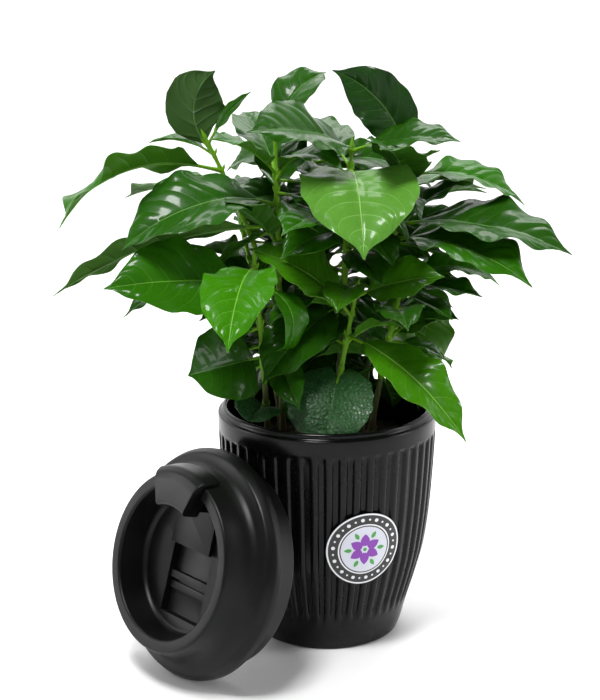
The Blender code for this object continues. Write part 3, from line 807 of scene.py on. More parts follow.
def pot_profile():
    points = [(20.0, 0.0), (39.4, 0.0), (40.6, 0.25), (41.4, 0.9), (41.8, 2.0)]
    heights = [4.0, 6.0, 9.0, 12.0, 15.0] + [17.0 + k for k in range(10)]
    heights += [28.0 + 4.0 * k for k in range(22)] + [115.0, SCOOP_LOW]
    heights += [SCOOP_LOW + 0.7 * k for k in (1, 2, 3)] + [RIB_HIGH, RIB_HIGH + 0.35]
    points += [(side_radius(z), z) for z in heights]
    points += [(BAND_RADIUS, 121.4), (BAND_RADIUS, BAND_LOW), (BAND_RADIUS, 126.0)]
    points += arc(BAND_RADIUS - 0.9, BAND_HIGH - 0.9, 0.9, 0.0, 90.0, 5)
    points += [(60.5, BAND_HIGH), (60.1, BAND_HIGH + 0.15)]
    points += arc(LIP_RADIUS - 1.5, POT_HEIGHT - 1.5, 1.5, -25.0, 180.0, 12)
    points += [(inner_radius(z) + 0.25, z) for z in (130.0, 127.0, 122.0, 112.0, 90.0, 60.0, 35.0, 8.0)]
    points += [(inner_radius(8.0) - 4.0, POT_FLOOR), (12.0, POT_FLOOR)]
    return points


def build_pot(looks):
    depth = looks.rib_depth / MM
    top_of_ribs = RIB_HIGH + 0.1
    profile = pot_profile()
    outside = [k for k, (radius, z) in enumerate(profile) if z <= top_of_ribs and radius > 40.0]
    last_outside = max(k for k in outside if profile[k][0] > side_radius(profile[k][1]) - 0.5)

    def flute(share, z):
        away = abs(share - round(share))
        reach = depth * smooth_step(z, RIB_LOW, RIB_FULL) * (1.0 - 0.8 * smooth_step(z, SCOOP_LOW, RIB_HIGH))
        crown = 0.2 * min(1.0, away / 0.22) ** 2
        return reach * (0.8 * smooth_step(away, 0.2, 0.34) + crown)

    steps = RIB_COUNT * STEPS_PER_RIB
    rings = []
    for k, (radius, z) in enumerate(profile):
        ring = []
        for i, angle in enumerate(angles(steps)):
            r = radius - (flute(i / STEPS_PER_RIB, z) if k <= last_outside else 0.0)
            ring.append(around_axis(r, z, angle))
        rings.append(ring)
    verts, faces = loft(rings)
    glossy = [k for k, (_, z) in enumerate(profile) if z >= BAND_LOW]
    slots = []
    for k in range(len(profile) - 1):
        slots += [1 if glossy[0] <= k <= glossy[-1] else 0] * steps
    slots += [0, 0]
    ribbed = paint("ribbed pot plastic", moulded_plastic, looks.plastic, looks.gloss)
    lip = paint("polished pot lip", moulded_plastic, looks.plastic, 0.2, 0.004 * MM)
    pot = make_piece("ribbed_pot", verts, faces, [ribbed, lip], slots, True, 50.0)
    return place_piece(pot, "pot", "pot")


def lump(rng, size):
    """Small irregular crumb: an icosahedron pushed about."""
    work = bmesh.new()
    bmesh.ops.create_icosphere(work, subdivisions=1, radius=size)
    squash = Vector((rng.uniform(0.7, 1.3), rng.uniform(0.7, 1.3), rng.uniform(0.5, 0.9)))
    for vert in work.verts:
        vert.co = Vector(vert.co * squash) * rng.uniform(0.75, 1.2)
    verts = [tuple(v.co) for v in work.verts]
    faces = [tuple(v.index for v in f.verts) for f in work.faces]
    work.free()
    return verts, faces


def soil_height(x, y):
    """Uneven surface, a little lower towards the pot's wall, in millimetres."""
    reach = math.hypot(x, y) / SOIL_SPREAD
    wave = 1.5 * math.sin(x * 0.21 + 1.0) * math.cos(y * 0.17) + 0.8 * math.sin(x * 0.61 + y * 0.5)
    fine = 0.5 * math.sin(x * 1.9 + 2.0 * math.sin(y * 1.3)) * math.sin(y * 2.1)
    return SOIL_TOP - 1.2 - 2.2 * reach ** 4 + 0.6 * wave + fine


def build_soil(looks):
    rng = random.Random(SOIL_SEED)
    steps = SOIL_STEPS
    count = SOIL_RINGS
    edge = inner_radius(SOIL_TOP) - 0.15
    verts = [(0.0, 0.0, soil_height(0.0, 0.0) * MM)]
    for k in range(1, count + 1):
        for angle in angles(steps):
            x = edge * k / count * math.cos(angle)
            y = edge * k / count * math.sin(angle)
            verts.append((x * MM, y * MM, (soil_height(x, y) + rng.uniform(-0.25, 0.25)) * MM))
    rim = 1 + (count - 1) * steps
    low = len(verts)
    for i in range(steps):
        verts.append((verts[rim + i][0], verts[rim + i][1], (SOIL_TOP - SOIL_SKIRT) * MM))
    faces = [(0, 1 + i, 1 + (i + 1) % steps) for i in range(steps)]
    for k in range(count):
        base = 1 + k * steps
        faces += strip(base, base + steps, steps)
    faces.append(tuple(low + i for i in reversed(range(steps))))
    moist = paint("moist soil", soil_paint, looks.soil)
    ground = make_piece("potting_soil", verts, faces, [moist])
    place_piece(ground, "soil", "soil")
    heap = Heap()
    for _ in range(looks.crumbs):
        reach = CRUMB_SPREAD * math.sqrt(rng.random())
        angle = rng.uniform(0.0, TAU)
        x = reach * math.cos(angle)
        y = reach * math.sin(angle)
        size = rng.uniform(0.5, 1.7) * (1.0 if rng.random() < 0.9 else 1.5)
        crumb, sides = lump(rng, size * MM)
        spot = (x * MM, y * MM, (soil_height(x, y) + 0.3 * size) * MM)
        heap.add([tuple(a + b for a, b in zip(v, spot)) for v in crumb], sides, 0)
    if heap.verts:
        place_piece(heap.piece("soil_crumbs", [moist]), "soil", "soil")


def badge_spot(across, up, lift):
    """Point over the pot's side, millimetres across and up from the badge's middle."""
    z = BADGE_HEIGHT + up
    base = lerp_table(POT_SIDE, z) + 0.45 + lift
    angle = math.radians(BADGE_BEARING) + across / (lerp_table(POT_SIDE, BADGE_HEIGHT) + 0.3)
    return around_axis(base, z, angle)


def badge_patch(heap, outline, high, slot):
    """Thin raised print with this outline."""
    count = len(outline)
    mid = (sum(p[0] for p in outline) / count, sum(p[1] for p in outline) / count)
    verts = [badge_spot(*spot, lift) for lift in (PRINT_LOW, high) for spot in outline]
    verts += [badge_spot(*mid, PRINT_LOW), badge_spot(*mid, high)]
    faces = []
    for i in range(count):
        j = (i + 1) % count
        faces += [(i, j, count + j, count + i), (count + i, count + j, 2 * count + 1), (j, i, 2 * count)]
    heap.add(verts, faces, slot)


def petal_outline(length, width, start, turn, steps=14):
    """Pointed oval that begins at a distance from the middle and lies along a direction."""
    points = []
    for side in (1.0, -1.0):
        for k in range(steps):
            share = k / steps if side > 0 else 1.0 - k / steps
            half = width * 0.5 * math.sin(math.pi * share ** 0.85) ** 0.85 * side if 0 < share < 1 else 0.0
            along = start + length * share
            points.append((along * math.cos(turn) - half * math.sin(turn),
                           along * math.sin(turn) + half * math.cos(turn)))
    return points


def disc_outline(x, y, radius, steps=18):
    return [(x + radius * math.cos(angle), y + radius * math.sin(angle)) for angle in angles(steps)]


def build_badge(looks):
    black = paint("printed black", printed_paint, (0.012, 0.012, 0.013))
    white = paint("printed white", printed_paint, (0.82, 0.82, 0.84))
    ground = paint("printed ground", printed_paint, looks.paper)
    petal = paint("printed petals", printed_paint, looks.petal)
    green = paint("printed leaves", printed_paint, looks.leaf)
    zones = ((0.0, 2), (0.632, 0), (0.664, 1), (0.7, 0), (0.95, 1), (0.992, 0), (1.0, 0))
    steps = BADGE_STEPS
    rings = [r for (low, _), (high, _) in zip(zones, zones[1:]) for r in np.linspace(low, high, 5)[:-1]]
    rings.append(1.0)
    heap = Heap()
    verts = [badge_spot(0.0, 0.0, BADGE_THICK)]
    slots = [2] * steps
    for ring in rings[1:]:
        lift = BADGE_THICK if ring < 0.999 else PRINT_LOW
        for angle in angles(steps):
            verts.append(badge_spot(ring * BADGE_RADIUS * math.cos(angle),
                                    ring * BADGE_RADIUS * math.sin(angle), lift))
    faces = [(0, 1 + i, 1 + (i + 1) % steps) for i in range(steps)]
    for k in range(1, len(rings) - 1):
        zone = [slot for low, slot in zones if low <= rings[k] + 1e-6][-1]
        low = 1 + (k - 1) * steps
        faces += strip(low, low + steps, steps)
        slots += [zone] * steps
    rim = 1 + (len(rings) - 2) * steps
    back = len(verts)
    for angle in angles(steps):
        verts.append(badge_spot(BADGE_RADIUS * math.cos(angle), BADGE_RADIUS * math.sin(angle), 0.0))
    verts.append(badge_spot(0.0, 0.0, 0.0))
    for i in range(steps):
        j = (i + 1) % steps
        faces += [(rim + i, back + i, back + j, rim + j), (back + i, back + steps, back + j)]
        slots += [0, 0]
    heap.add(verts, faces, slots)
    for k in range(looks.beads):
        angle = TAU * (k + 0.5) / looks.beads
        reach = BEAD_RING * BADGE_RADIUS
        radius = 1.05 if k % 2 else 0.6
        outline = disc_outline(reach * math.cos(angle), reach * math.sin(angle), radius)
        badge_patch(heap, outline, 0.72, 1)
    for k in range(PETALS):
        turn = TAU * k / PETALS + math.pi / PETALS
        badge_patch(heap, petal_outline(7.6, 5.2, 1.6, turn), 0.74, 3)
        badge_patch(heap, petal_outline(4.4, 2.3, 7.4, turn + math.pi / PETALS), 0.72, 4)
    badge_patch(heap, disc_outline(0.0, 0.0, 2.1, 24), 0.78, 2)
    badge_patch(heap, disc_outline(0.0, 0.0, 1.1, 18), 0.8, 4)
    badge = heap.piece("round_badge", [black, white, ground, petal, green], 40.0)
    return place_piece(badge, "badge", "badge")


# ================================================================ lid

def lid_matrix():
    """From the lid's own frame to where it stands, leaning against the pot."""
    axis = heading(LID_BEARING, LID_LEAN)
    across = level_side(LID_BEARING)
    height = LID_RADIUS * math.cos(math.radians(LID_LEAN)) + LID_LIFT
    turned = Matrix((across, axis.cross(across), axis)).transposed().to_4x4()
    return Matrix.Translation(Vector((*LID_CENTRE, height)) * MM) @ turned


def lid_profile():
    well = LID_WELL_RADIUS
    ring = LID_RING_RADIUS
    top = LID_HEIGHT
    inner = [
        (12.0, LID_FLOOR - 2.4),
        (well - 2.0, LID_FLOOR - 2.4),
        (well + 2.4, top - 2.2),
        (ring - 2.4, top - 2.2),
        (ring - 1.4, 17.0),
        (LID_PLUG_RADIUS - 2.0, 6.0),
        (LID_PLUG_RADIUS - 2.0, -LID_PLUG_DEPTH),
        (LID_PLUG_RADIUS, -LID_PLUG_DEPTH),
        (LID_PLUG_RADIUS + 1.0, 0.0),
    ]
    cove = [(60.4, 8.9), (57.2, 9.7), (54.8, 10.9), (52.9, 13.0), (51.4, 16.0), (50.2, 20.0)]
    outer = [(LID_RADIUS, 0.0), (LID_RADIUS, 4.5)] + cove
    outer += [(ring, top - 0.9), (ring - 0.9, top), (well + 0.9, top), (well, top - 0.9)]
    outer += [(well - 2.2, LID_FLOOR + 2.0), (well - 4.0, LID_FLOOR), (12.0, LID_FLOOR)]
    return rounded(inner + outer, 1.0, 3)


def plain_box(name, x0, x1, y0, y1, z0, z1):
    verts = [(x * MM, y * MM, z * MM) for z in (z0, z1) for y in (y0, y1) for x in (x0, x1)]
    faces = [(0, 2, 3, 1), (4, 5, 7, 6), (0, 1, 5, 4), (2, 6, 7, 3), (0, 4, 6, 2), (1, 3, 7, 5)]
    return make_piece(name, verts, faces, [], None, False)


def combine(target, tool, operation):
    """Apply a Boolean of one tool on a target, and remove the tool."""
    modifier = target.modifiers.new("join", "BOOLEAN")
    modifier.operation = operation
    modifier.solver = "EXACT"
    modifier.object = tool
    apply_modifiers(target)
    bpy.data.objects.remove(tool, do_unlink=True)


def apply_modifiers(target):
    graph = bpy.context.evaluated_depsgraph_get()
    graph.update()
    mesh = bpy.data.meshes.new_from_object(target.evaluated_get(graph))
    target.modifiers.clear()
    target.data = mesh


def tidy_skin(item):
    """Weld split points and turn every face outwards."""
    work = bmesh.new()
    work.from_mesh(item.data)
    bmesh.ops.remove_doubles(work, verts=work.verts, dist=1e-6)
    bmesh.ops.dissolve_degenerate(work, edges=work.edges, dist=1e-6)
    bmesh.ops.recalc_face_normals(work, faces=work.faces)
    work.to_mesh(item.data)
    work.free()


def soften_edges(item, width, material):
    """Round the sharp moulded edges and give the piece its one material."""
    tidy_skin(item)
    bevel = item.modifiers.new("rounding", "BEVEL")
    bevel.width = width
    bevel.segments = 2
    bevel.limit_method = "ANGLE"
    bevel.angle_limit = math.radians(50.0)
    bevel.use_clamp_overlap = True
    apply_modifiers(item)
    item.data.materials.clear()
    item.data.materials.append(material)
    item.data.polygons.foreach_set("material_index", [0] * len(item.data.polygons))
    item.data.shade_smooth()
    item.data.set_sharp_from_angle(angle=math.radians(32.0))
    item.data.transform(lid_matrix())


def build_lid(looks):
    verts, faces = revolve(lid_profile(), LID_STEPS)
    lid = make_piece("cup_lid", verts, faces, [])
    tidy_skin(lid)
    half = TROUGH_HALF_WIDTH
    combine(lid, plain_box("case", -half - 2.0, half + 2.0, TROUGH_LOW - 2.0, TROUGH_HIGH + 2.0,
                           TROUGH_BOTTOM - 2.0, LID_FLOOR - 1.0), "UNION")
    combine(lid, plain_box("hollow", -half, half, TROUGH_LOW, TROUGH_HIGH,
                           TROUGH_BOTTOM, LID_FLOOR + 5.0), "DIFFERENCE")
    for z, depth in ((-8.0, 3.2), (-14.0, 1.8)):
        combine(lid, plain_box("step", -half - 0.5, half + 0.5, z - 4.0, z,
                               TROUGH_BOTTOM - 1.0, TROUGH_BOTTOM + depth), "UNION")
    soften_edges(lid, looks.bevel, paint("matt lid plastic", moulded_plastic, looks.plastic, looks.gloss))
    return place_piece(lid, "lid", "lid")


def build_flap(looks):
    """Sipping flap: a saddle over the lid's ring and a strap down to the well's floor."""
    corners = [
        (30.0, 22.0), (30.0, 31.6), (31.6, 33.2), (44.0, 33.4), (48.6, 32.2), (51.6, 29.0), (52.4, 24.0),
        (53.6, 19.0), (51.4, 19.0), (50.2, 22.6), (49.3, 27.4), (41.2, 27.4), (40.0, 22.0),
    ]
    looped = [((corners[-1][0] + corners[0][0]) / 2, 22.0)]
    profile = rounded(looped + corners + looped, 1.3, 4)[:-1]
    half = math.radians(FLAP_HALF_ANGLE)
    rings = []
    for k in range(FLAP_STEPS + 1):
        angle = half - 2.0 * half * k / FLAP_STEPS
        rings.append([(r * MM * math.sin(angle), r * MM * math.cos(angle), z * MM) for r, z in profile])
    verts, faces = loft(rings)
    flap = make_piece("sipping_flap", verts, faces, [])
    tidy_skin(flap)
    wide = STRAP_HALF_WIDTH
    low = LID_FLOOR + 0.3
    combine(flap, plain_box("web", 4.0 - wide, wide - 4.0, 31.0, 34.0, low, 24.0), "UNION")
    combine(flap, plain_box("strap", -wide, wide, 8.0, 33.0, low, low + 2.6), "UNION")
    # The flap's plastic is a 1.25 times lighter copy of the lid's: painted sheen.
    soften_edges(flap, looks.bevel, paint("flap plastic", moulded_plastic, scaled(looks.plastic, 1.25),
                                          looks.gloss - 0.04))
    return place_piece(flap, "flap", "lid_flap")


# ================================================================ where every leaf goes

def stem_point(key, height):
    """Middle of a seedling's stem at a height in millimetres."""
    x0, y0, x1, y1, top, curve, _ = SEEDLINGS[key]
    share = max(0.0, (height - SOIL_TOP) / (top - SOIL_TOP))
    bent = share ** curve
    return Vector((x0 + (x1 - x0) * bent, y0 + (y1 - y0) * bent, height)) * MM


def stem_radius(key, height):
    top = SEEDLINGS[key][4]
    share = (height - SOIL_TOP) / (top - SOIL_TOP)
    radius = STEM_RADIUS + (STEM_TIP_RADIUS - STEM_RADIUS) * share
    rise = (height - SOIL_TOP) / 8.0
    return radius * MM * (1.0 + (STEM_FLARE - 1.0) * math.exp(-rise * rise))


def tube(points, radii, sides, level_ends=False):
    """Closed tube skin through points."""
    rings = []
    total = len(points)
    for k, point in enumerate(points):
        ahead = points[min(k + 1, total - 1)] - points[max(k - 1, 0)]
        if level_ends and k in (0, total - 1):
            ahead = Vector((0.0, 0.0, 1.0))
        ahead.normalize()
        side = ahead.cross(Vector((0.31, 0.95, 0.05)))
        side.normalize()
        other = ahead.cross(side)
        rings.append([point + (side * math.cos(angle) + other * math.sin(angle)) * radii[k]
                      for angle in angles(sides)])
    verts, faces = loft(rings)
    return verts, [tuple(reversed(face)) for face in faces]


def leaf_frames(start, bearing, rise, roll, length, droop, swing, shares):
    """Midrib points and their direction, side and normal at the given shares of the length."""
    ahead = heading(bearing, rise)
    side = level_side(bearing)
    side.rotate(Matrix.Rotation(math.radians(roll), 3, ahead))
    frames = []
    point = start.copy()
    wanted = list(shares)
    for k in range(MIDRIB_STEPS + 1):
        share = k / MIDRIB_STEPS
        while wanted and wanted[0] <= share + 1e-6:
            frames.append((point.copy(), ahead.copy(), side.copy(), ahead.cross(side)))
            wanted.pop(0)
        bend = Matrix.Rotation(math.radians(droop) / MIDRIB_STEPS, 3, side)
        ahead.rotate(bend)
        sway = Matrix.Rotation(math.radians(swing) / MIDRIB_STEPS, 3, ahead.cross(side))
        ahead.rotate(sway)
        side.rotate(sway)
        point = point + ahead * (length / MIDRIB_STEPS)
    return frames


def plain_blade(start, leaf, outline, grow):
    """Coarse slab of a leaf, used only to find out whether the leaf has room."""
    bearing, rise, length, width, droop, swing, roll, phase, inner = leaf
    shares = INNER_SECTIONS if inner else BLADE_SECTIONS
    frames = leaf_frames(start, bearing, rise, roll, length * MM, droop, swing, shares)
    thick = length * MM * BLADE_THICK_SHARE * 0.5 + grow
    verts = []
    for share, (point, _, side, normal) in zip(shares, frames):
        half = lerp_table(outline, share) * width * MM * 0.5 + grow
        reach = min(1.0, half / (width * MM * FULL_WIDTH_SHARE))
        wave = math.sin(share * BLADE_WAVE_TURNS + phase) * length * MM * BLADE_WAVE * reach
        fold = half * BLADE_FOLD
        thin = thick if share < 0.95 else thick * 0.7
        left = point + side * half + normal * (fold + wave)
        right = point - side * half + normal * (fold - wave)
        for spot in (left, point, right):
            verts.append(spot + normal * thin)
        for spot in (right, point, left):
            verts.append(spot - normal * thin)
    faces = [(0, 1, 4), (0, 4, 5), (1, 2, 3), (1, 3, 4)]
    last = (len(shares) - 1) * 6
    for k in range(len(shares) - 1):
        low = k * 6
        high = low + 6
        for i in range(6):
            j = (i + 1) % 6
            if i < 3:
                faces += [(low + j, low + i, high + j), (low + i, high + i, high + j)]
            else:
                faces += [(low + j, low + i, high + i), (low + j, high + i, high + j)]
    for a, b, c in ((0, 4, 1), (0, 5, 4), (1, 3, 2), (1, 4, 3)):
        faces.append((last + a, last + b, last + c))
    return verts, faces


def petiole_line(key, height, leaf):
    """Root, direction and length of a leaf's stalk."""
    return stem_point(key, height), heading(leaf[0], leaf[1]), (PETIOLE_LEAST + PETIOLE_SHARE * leaf[2]) * MM


def plain_leaf(key, height, leaf, outline, grow=0.0):
    """Coarse stalk and blade of a leaf, grown by a margin when its room is tested."""
    root, ahead, reach = petiole_line(key, height, leaf)
    stalk = tube((root, root + ahead * (reach + 3.0 * MM)),
                 (PETIOLE_RADIUS * MM * 1.1 + grow, PETIOLE_RADIUS * MM + grow), 4)
    return stalk, plain_blade(root + ahead * reach, leaf, outline, grow)


# Turns and lifts, in degrees, that a leaf placed one by one may take to find room.
NUDGES = ((0, 0), (5, 0), (-5, 0), (0, 6), (0, -6), (9, 4), (-9, 4), (9, -5), (-9, -5), (14, 0), (-14, 0),
          (0, 12), (0, -12), (18, 8), (-18, 8), (22, -6), (-22, -6))


def tree_of(skin):
    verts, faces = skin
    return BVHTree.FromPolygons([tuple(v) for v in verts], [tuple(f) for f in faces])


def pair_pose(attempt, rng, height, length, bearing, rise):
    """One try at a leaf of a pair: lower leaves are smaller, and later tries smaller and freer."""
    low_share = min(1.0, 0.62 + max(0.0, height - 150.0) / 130.0)
    size = length * rng.uniform(0.85, 1.12) * low_share * (1.0 - 0.017 * attempt)
    spread = 14.0 + 1.6 * attempt
    return (
        bearing + rng.uniform(-spread, spread),
        rise + rng.uniform(-spread, spread) * 0.6,
        size,
        size * rng.uniform(0.42, 0.5),
        rng.uniform(40.0, 80.0),
        0.0,
        rng.uniform(-spread, spread),
        rng.uniform(0.0, PHASE_END),
        True,
    )


def shade_pose(attempt, rng, length, bearing, spread):
    """One try at a small hanging leaf of the shade."""
    size = length * rng.uniform(0.8, 1.15) * (1.0 - 0.012 * attempt)
    return (
        bearing + rng.uniform(-spread, spread),
        rng.uniform(-48.0, 5.0),
        size,
        size * rng.uniform(0.52, 0.64),
        rng.uniform(15.0, 50.0),
        0.0,
        rng.uniform(-25.0, 25.0),
        rng.uniform(0.0, PHASE_END),
        True,
    )


def place_leaves():
    """Choose every leaf's final pose: a leaf that would touch another limb is nudged or skipped."""
    fixed = []
    limbs = {}
    for key, seedling in SEEDLINGS.items():
        low = SOIL_TOP
        heights = [low + (seedling[4] - low) * k / 6 for k in range(7)]
        radii = [stem_radius(key, z) for z in heights]
        limbs[key] = [tree_of(tube([stem_point(key, z) for z in heights], radii, 6, True))]
    for name in ("pot", "soil", "lid", "lid_flap"):
        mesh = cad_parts[name].data
        fixed.append(BVHTree.FromPolygons([tuple(v.co) for v in mesh.vertices],
                                          [tuple(p.vertices) for p in mesh.polygons]))
    chosen = {key: [] for key in SEEDLINGS}
    blades = {key: [] for key in SEEDLINGS}

    def free(key, stalk, blade, strict):
        stalk_tree, blade_tree = tree_of(stalk), tree_of(blade)
        for other in SEEDLINGS:
            if other == key and not strict:
                continue
            trees = blades[other] if other == key else limbs[other] + blades[other]
            for tree in trees:
                if blade_tree.overlap(tree) or (other != key and stalk_tree.overlap(tree)):
                    return False
        return not any(blade_tree.overlap(tree) or stalk_tree.overlap(tree) for tree in fixed)

    def keep(key, height, leaf, outline, tone):
        chosen[key].append((height, leaf, outline, tone))
        for skin in plain_leaf(key, height, leaf, outline):
            blades[key].append(tree_of(skin))

    def settle(key, height, leaf, outline, tone):
        for strict in (True, False):
            for turn, lift in NUDGES:
                moved = (leaf[0] + turn, leaf[1] + lift) + tuple(leaf[2:])
                stalk, blade = plain_leaf(key, height, moved, outline, LEAF_ROOM * MM)
                if free(key, stalk, blade, strict):
                    keep(key, height, moved, outline, tone)
                    return

    def inside_crown(blade, share=1.0):
        return all(math.hypot(p.x, p.y) <= lerp_table(CROWN, p.z / MM) * MM * share for p in blade[0])

    def grow(key, height, room, share, pick_tone, draw_pose, facts):
        """Draw poses until one has room inside the crown, and keep that one."""
        for attempt in range(TRIES):
            leaf = draw_pose(attempt, *facts)
            stalk, blade = plain_leaf(key, height, leaf, BLADE_OUTLINE, room * MM)
            if inside_crown(blade, share) and free(key, stalk, blade, True):
                keep(key, height, leaf, BLADE_OUTLINE, pick_tone())
                return

    rng = random.Random(SEED)
    tones = random.Random(SEED + 1)
    for group, outline in ((LEAVES, BLADE_OUTLINE), (ROUND_LEAVES, ROUND_OUTLINE)):
        for key, height, bearing, rise, length, width, droop, swing, roll, tone in group:
            phase = rng.uniform(0.0, PHASE_END)
            leaf = (bearing, rise, length, width, droop, swing, roll, phase, length < SMALL_LEAF)
            settle(key, height, leaf, outline, tone)
    for key, low, high, pairs, first, length in PAIRS:
        for k in range(pairs):
            height = low + (high - low) * k / max(1, pairs - 1)
            rise = 24.0 + 16.0 * k / pairs
            for half_turn in (0.0, 180.0):
                bearing = first + 90.0 * k + half_turn
                grow(key, height, LEAF_ROOM, 1.0, lambda: tones.choice(PAIR_TONES),
                     pair_pose, (rng, height, length, bearing, rise))
    shade_rng = random.Random(SEED + 3)
    for key, low, high, number, bearing, spread, length in SHADE:
        for k in range(number):
            height = low + (high - low) * (k + 0.5) / number
            grow(key, height, SHADE_ROOM, SHADE_REACH, lambda: "deep",
                 shade_pose, (shade_rng, length, bearing, spread))
    return chosen


# ================================================================ fine leaves

class Blade:
    """Curved surface of one leaf: along runs from base to tip, across from -1 to 1, and the
    line of one value of along follows a side vein out to the margin."""

    def __init__(self, start, leaf, outline, looks):
        bearing, rise, length, width, droop, swing, roll, phase, _ = leaf
        self.length = length * MM
        self.width = width * MM
        self.phase = phase
        self.looks = looks
        self.crinkled = outline is ROUND_OUTLINE
        self.outline = outline if self.crinkled else BROAD_OUTLINE if width > 0.85 * length else FINE_OUTLINE
        self.pairs = looks.vein_pairs - (2 if length < 50 else 0) - (2 if self.crinkled else 0)
        self.sweep = min(0.32, 0.55 * width / length)
        shares = [k / MIDRIB_STEPS for k in range(MIDRIB_STEPS + 1)]
        frames = leaf_frames(start, bearing, rise, roll, self.length, droop, swing, shares)
        self.shares = np.array(shares)
        self.frames = np.array([[tuple(v) for v in f] for f in frames])

    def vein_root(self, number):
        return (number + 0.5) / (self.pairs + MARGIN_VEINS)

    def share(self, along, across):
        """Share of the length that a side vein has reached this far across."""
        out = np.abs(across)
        wander = 1.0 + 0.13 * np.sin(along * 9.0 + self.phase + np.where(across > 0.0, 0.0, 2.4))
        run = self.sweep * np.sin(np.pi * along ** 0.75) * out * (0.6 + 0.4 * out * out) * wander
        return np.clip(along + run, 0.0, 1.0)

    def half(self, share):
        bays = 1.0 + 0.02 * np.sin(share * 38.0 + self.phase * 3.0)
        return smooth_table(self.outline, share) * self.width * 0.5 * bays

    def lift(self, along, across):
        out = np.abs(across)
        share = self.share(along, across)
        half = self.half(share)
        reach = np.minimum(1.0, half / (self.width * FULL_WIDTH_SHARE))
        wave = np.sin(share * BLADE_WAVE_TURNS + self.phase) * self.length * BLADE_WAVE * reach
        turn = np.where(across > 0.0, 0.0, 2.1) + self.phase * 2.0
        fine = np.sin(share * np.pi * self.pairs + turn) * self.length * self.looks.ripple * reach
        rest = half * BLADE_FOLD * out ** 1.25 + half * 0.06 * np.sin(np.pi * out)
        rest += wave * across * out ** 0.5 + fine * out ** 4
        count = along * (self.pairs + MARGIN_VEINS) - 0.5
        uneven = 0.66 + 0.34 * np.sin(count * 1.9 + self.phase * 4.0 + turn)
        swell = np.sin(np.pi * count) ** 2 * uneven
        calm = np.minimum(1.0, out / 0.3) * (1.0 - 0.7 * out ** 3) * np.minimum(1.0, (1.0 - along) * 5.0)
        rest += (swell ** 0.8) * calm * np.minimum(1.0, along * 6.0) * self.length * self.looks.quilting
        pucker = np.sin(along * 13.0 + self.phase * 3.0) * np.sin(across * 4.0 + turn)
        rest += self.length * 0.0035 * pucker * reach
        rest -= 0.4 * MM * np.exp(-(out / 0.09) ** 2) * reach
        if self.crinkled:
            x = share * 62.0 + self.phase
            y = across * 30.0
            rest += 0.2 * MM * (np.sin(x + 1.9 * np.sin(y)) * np.sin(y * 1.2 + 1.4 * np.sin(x * 0.6)))
        return rest

    def at(self, along, across):
        along = np.asarray(along, float)
        across = np.asarray(across, float)
        share = self.share(along, across)
        point, ahead, side, normal = (
            np.stack([np.interp(share, self.shares, self.frames[:, row, axis]) for axis in range(3)], -1)
            for row in range(4))
        half = self.half(share)[..., None]
        shift = 0.0
        if self.crinkled:
            shift = -0.16 * self.length * np.exp(-share * 7.0) * np.minimum(1.0, np.abs(across) * 1.5)
            shift = shift[..., None] * ahead
        return point + side * half * across[..., None] + normal * self.lift(along, across)[..., None] + shift

    def normal(self, along, across):
        step = 0.004
        ahead = self.at(np.minimum(1.0, along + step), across)
        ahead -= self.at(np.maximum(0.0, along - step), across)
        wide = self.at(along, np.minimum(1.0, across + 0.02))
        wide -= self.at(along, np.maximum(-1.0, across - 0.02))
        out = np.cross(ahead, wide)
        return out / np.maximum(1e-12, np.linalg.norm(out, axis=-1, keepdims=True))


GRIDS = {}


def slab_faces(rows, columns):
    """Faces of a thin slab of rows x columns cells (top, underside, edge) and how many edge faces."""
    if (rows, columns) in GRIDS:
        return GRIDS[(rows, columns)]
    wide = columns + 1
    k, i = np.meshgrid(np.arange(rows), np.arange(columns), indexing="ij")
    a = (k * wide + i).ravel()
    top = np.stack([a, a + wide, a + wide + 1, a + 1], 1)
    size = (rows + 1) * wide
    under = top[:, ::-1] + size
    rim = [i for i in range(wide)] + [k * wide + columns for k in range(1, rows + 1)]
    rim += [rows * wide + i for i in reversed(range(columns))] + [k * wide for k in reversed(range(1, rows))]
    rim = np.array(rim)
    nxt = np.roll(rim, -1)
    edge = np.stack([rim, nxt, nxt + size, rim + size], 1)
    GRIDS[(rows, columns)] = ([tuple(f) for f in np.concatenate([top, under, edge]).tolist()], len(edge))
    return GRIDS[(rows, columns)]


def vein_rows(blade):
    """Rows of the leaf's mesh: (along, widening with the vein, on a vein) from base to tip."""
    if blade.crinkled:
        return [(k / CRINKLED_ROWS, 0, False) for k in range(CRINKLED_ROWS + 1)]
    rows = [(0.0, 0, False)]
    gap = blade.vein_root(1) - blade.vein_root(0)
    between = (0.26, 0.5, 0.74) if blade.length < LARGE_LEAF * MM else (0.18, 0.34, 0.5, 0.66, 0.82)
    for number in range(blade.pairs):
        root = blade.vein_root(number)
        if number == 0:
            rows.append((root * 0.5, 0, False))
        rows += [(root, -1, True), (root, 0, True), (root, 1, False)]
        rows += [(root + gap * part, 0, False) for part in between if root + gap * part < LAST_VEIN_ROW]
    rows.append((1.0, 0, False))
    return rows


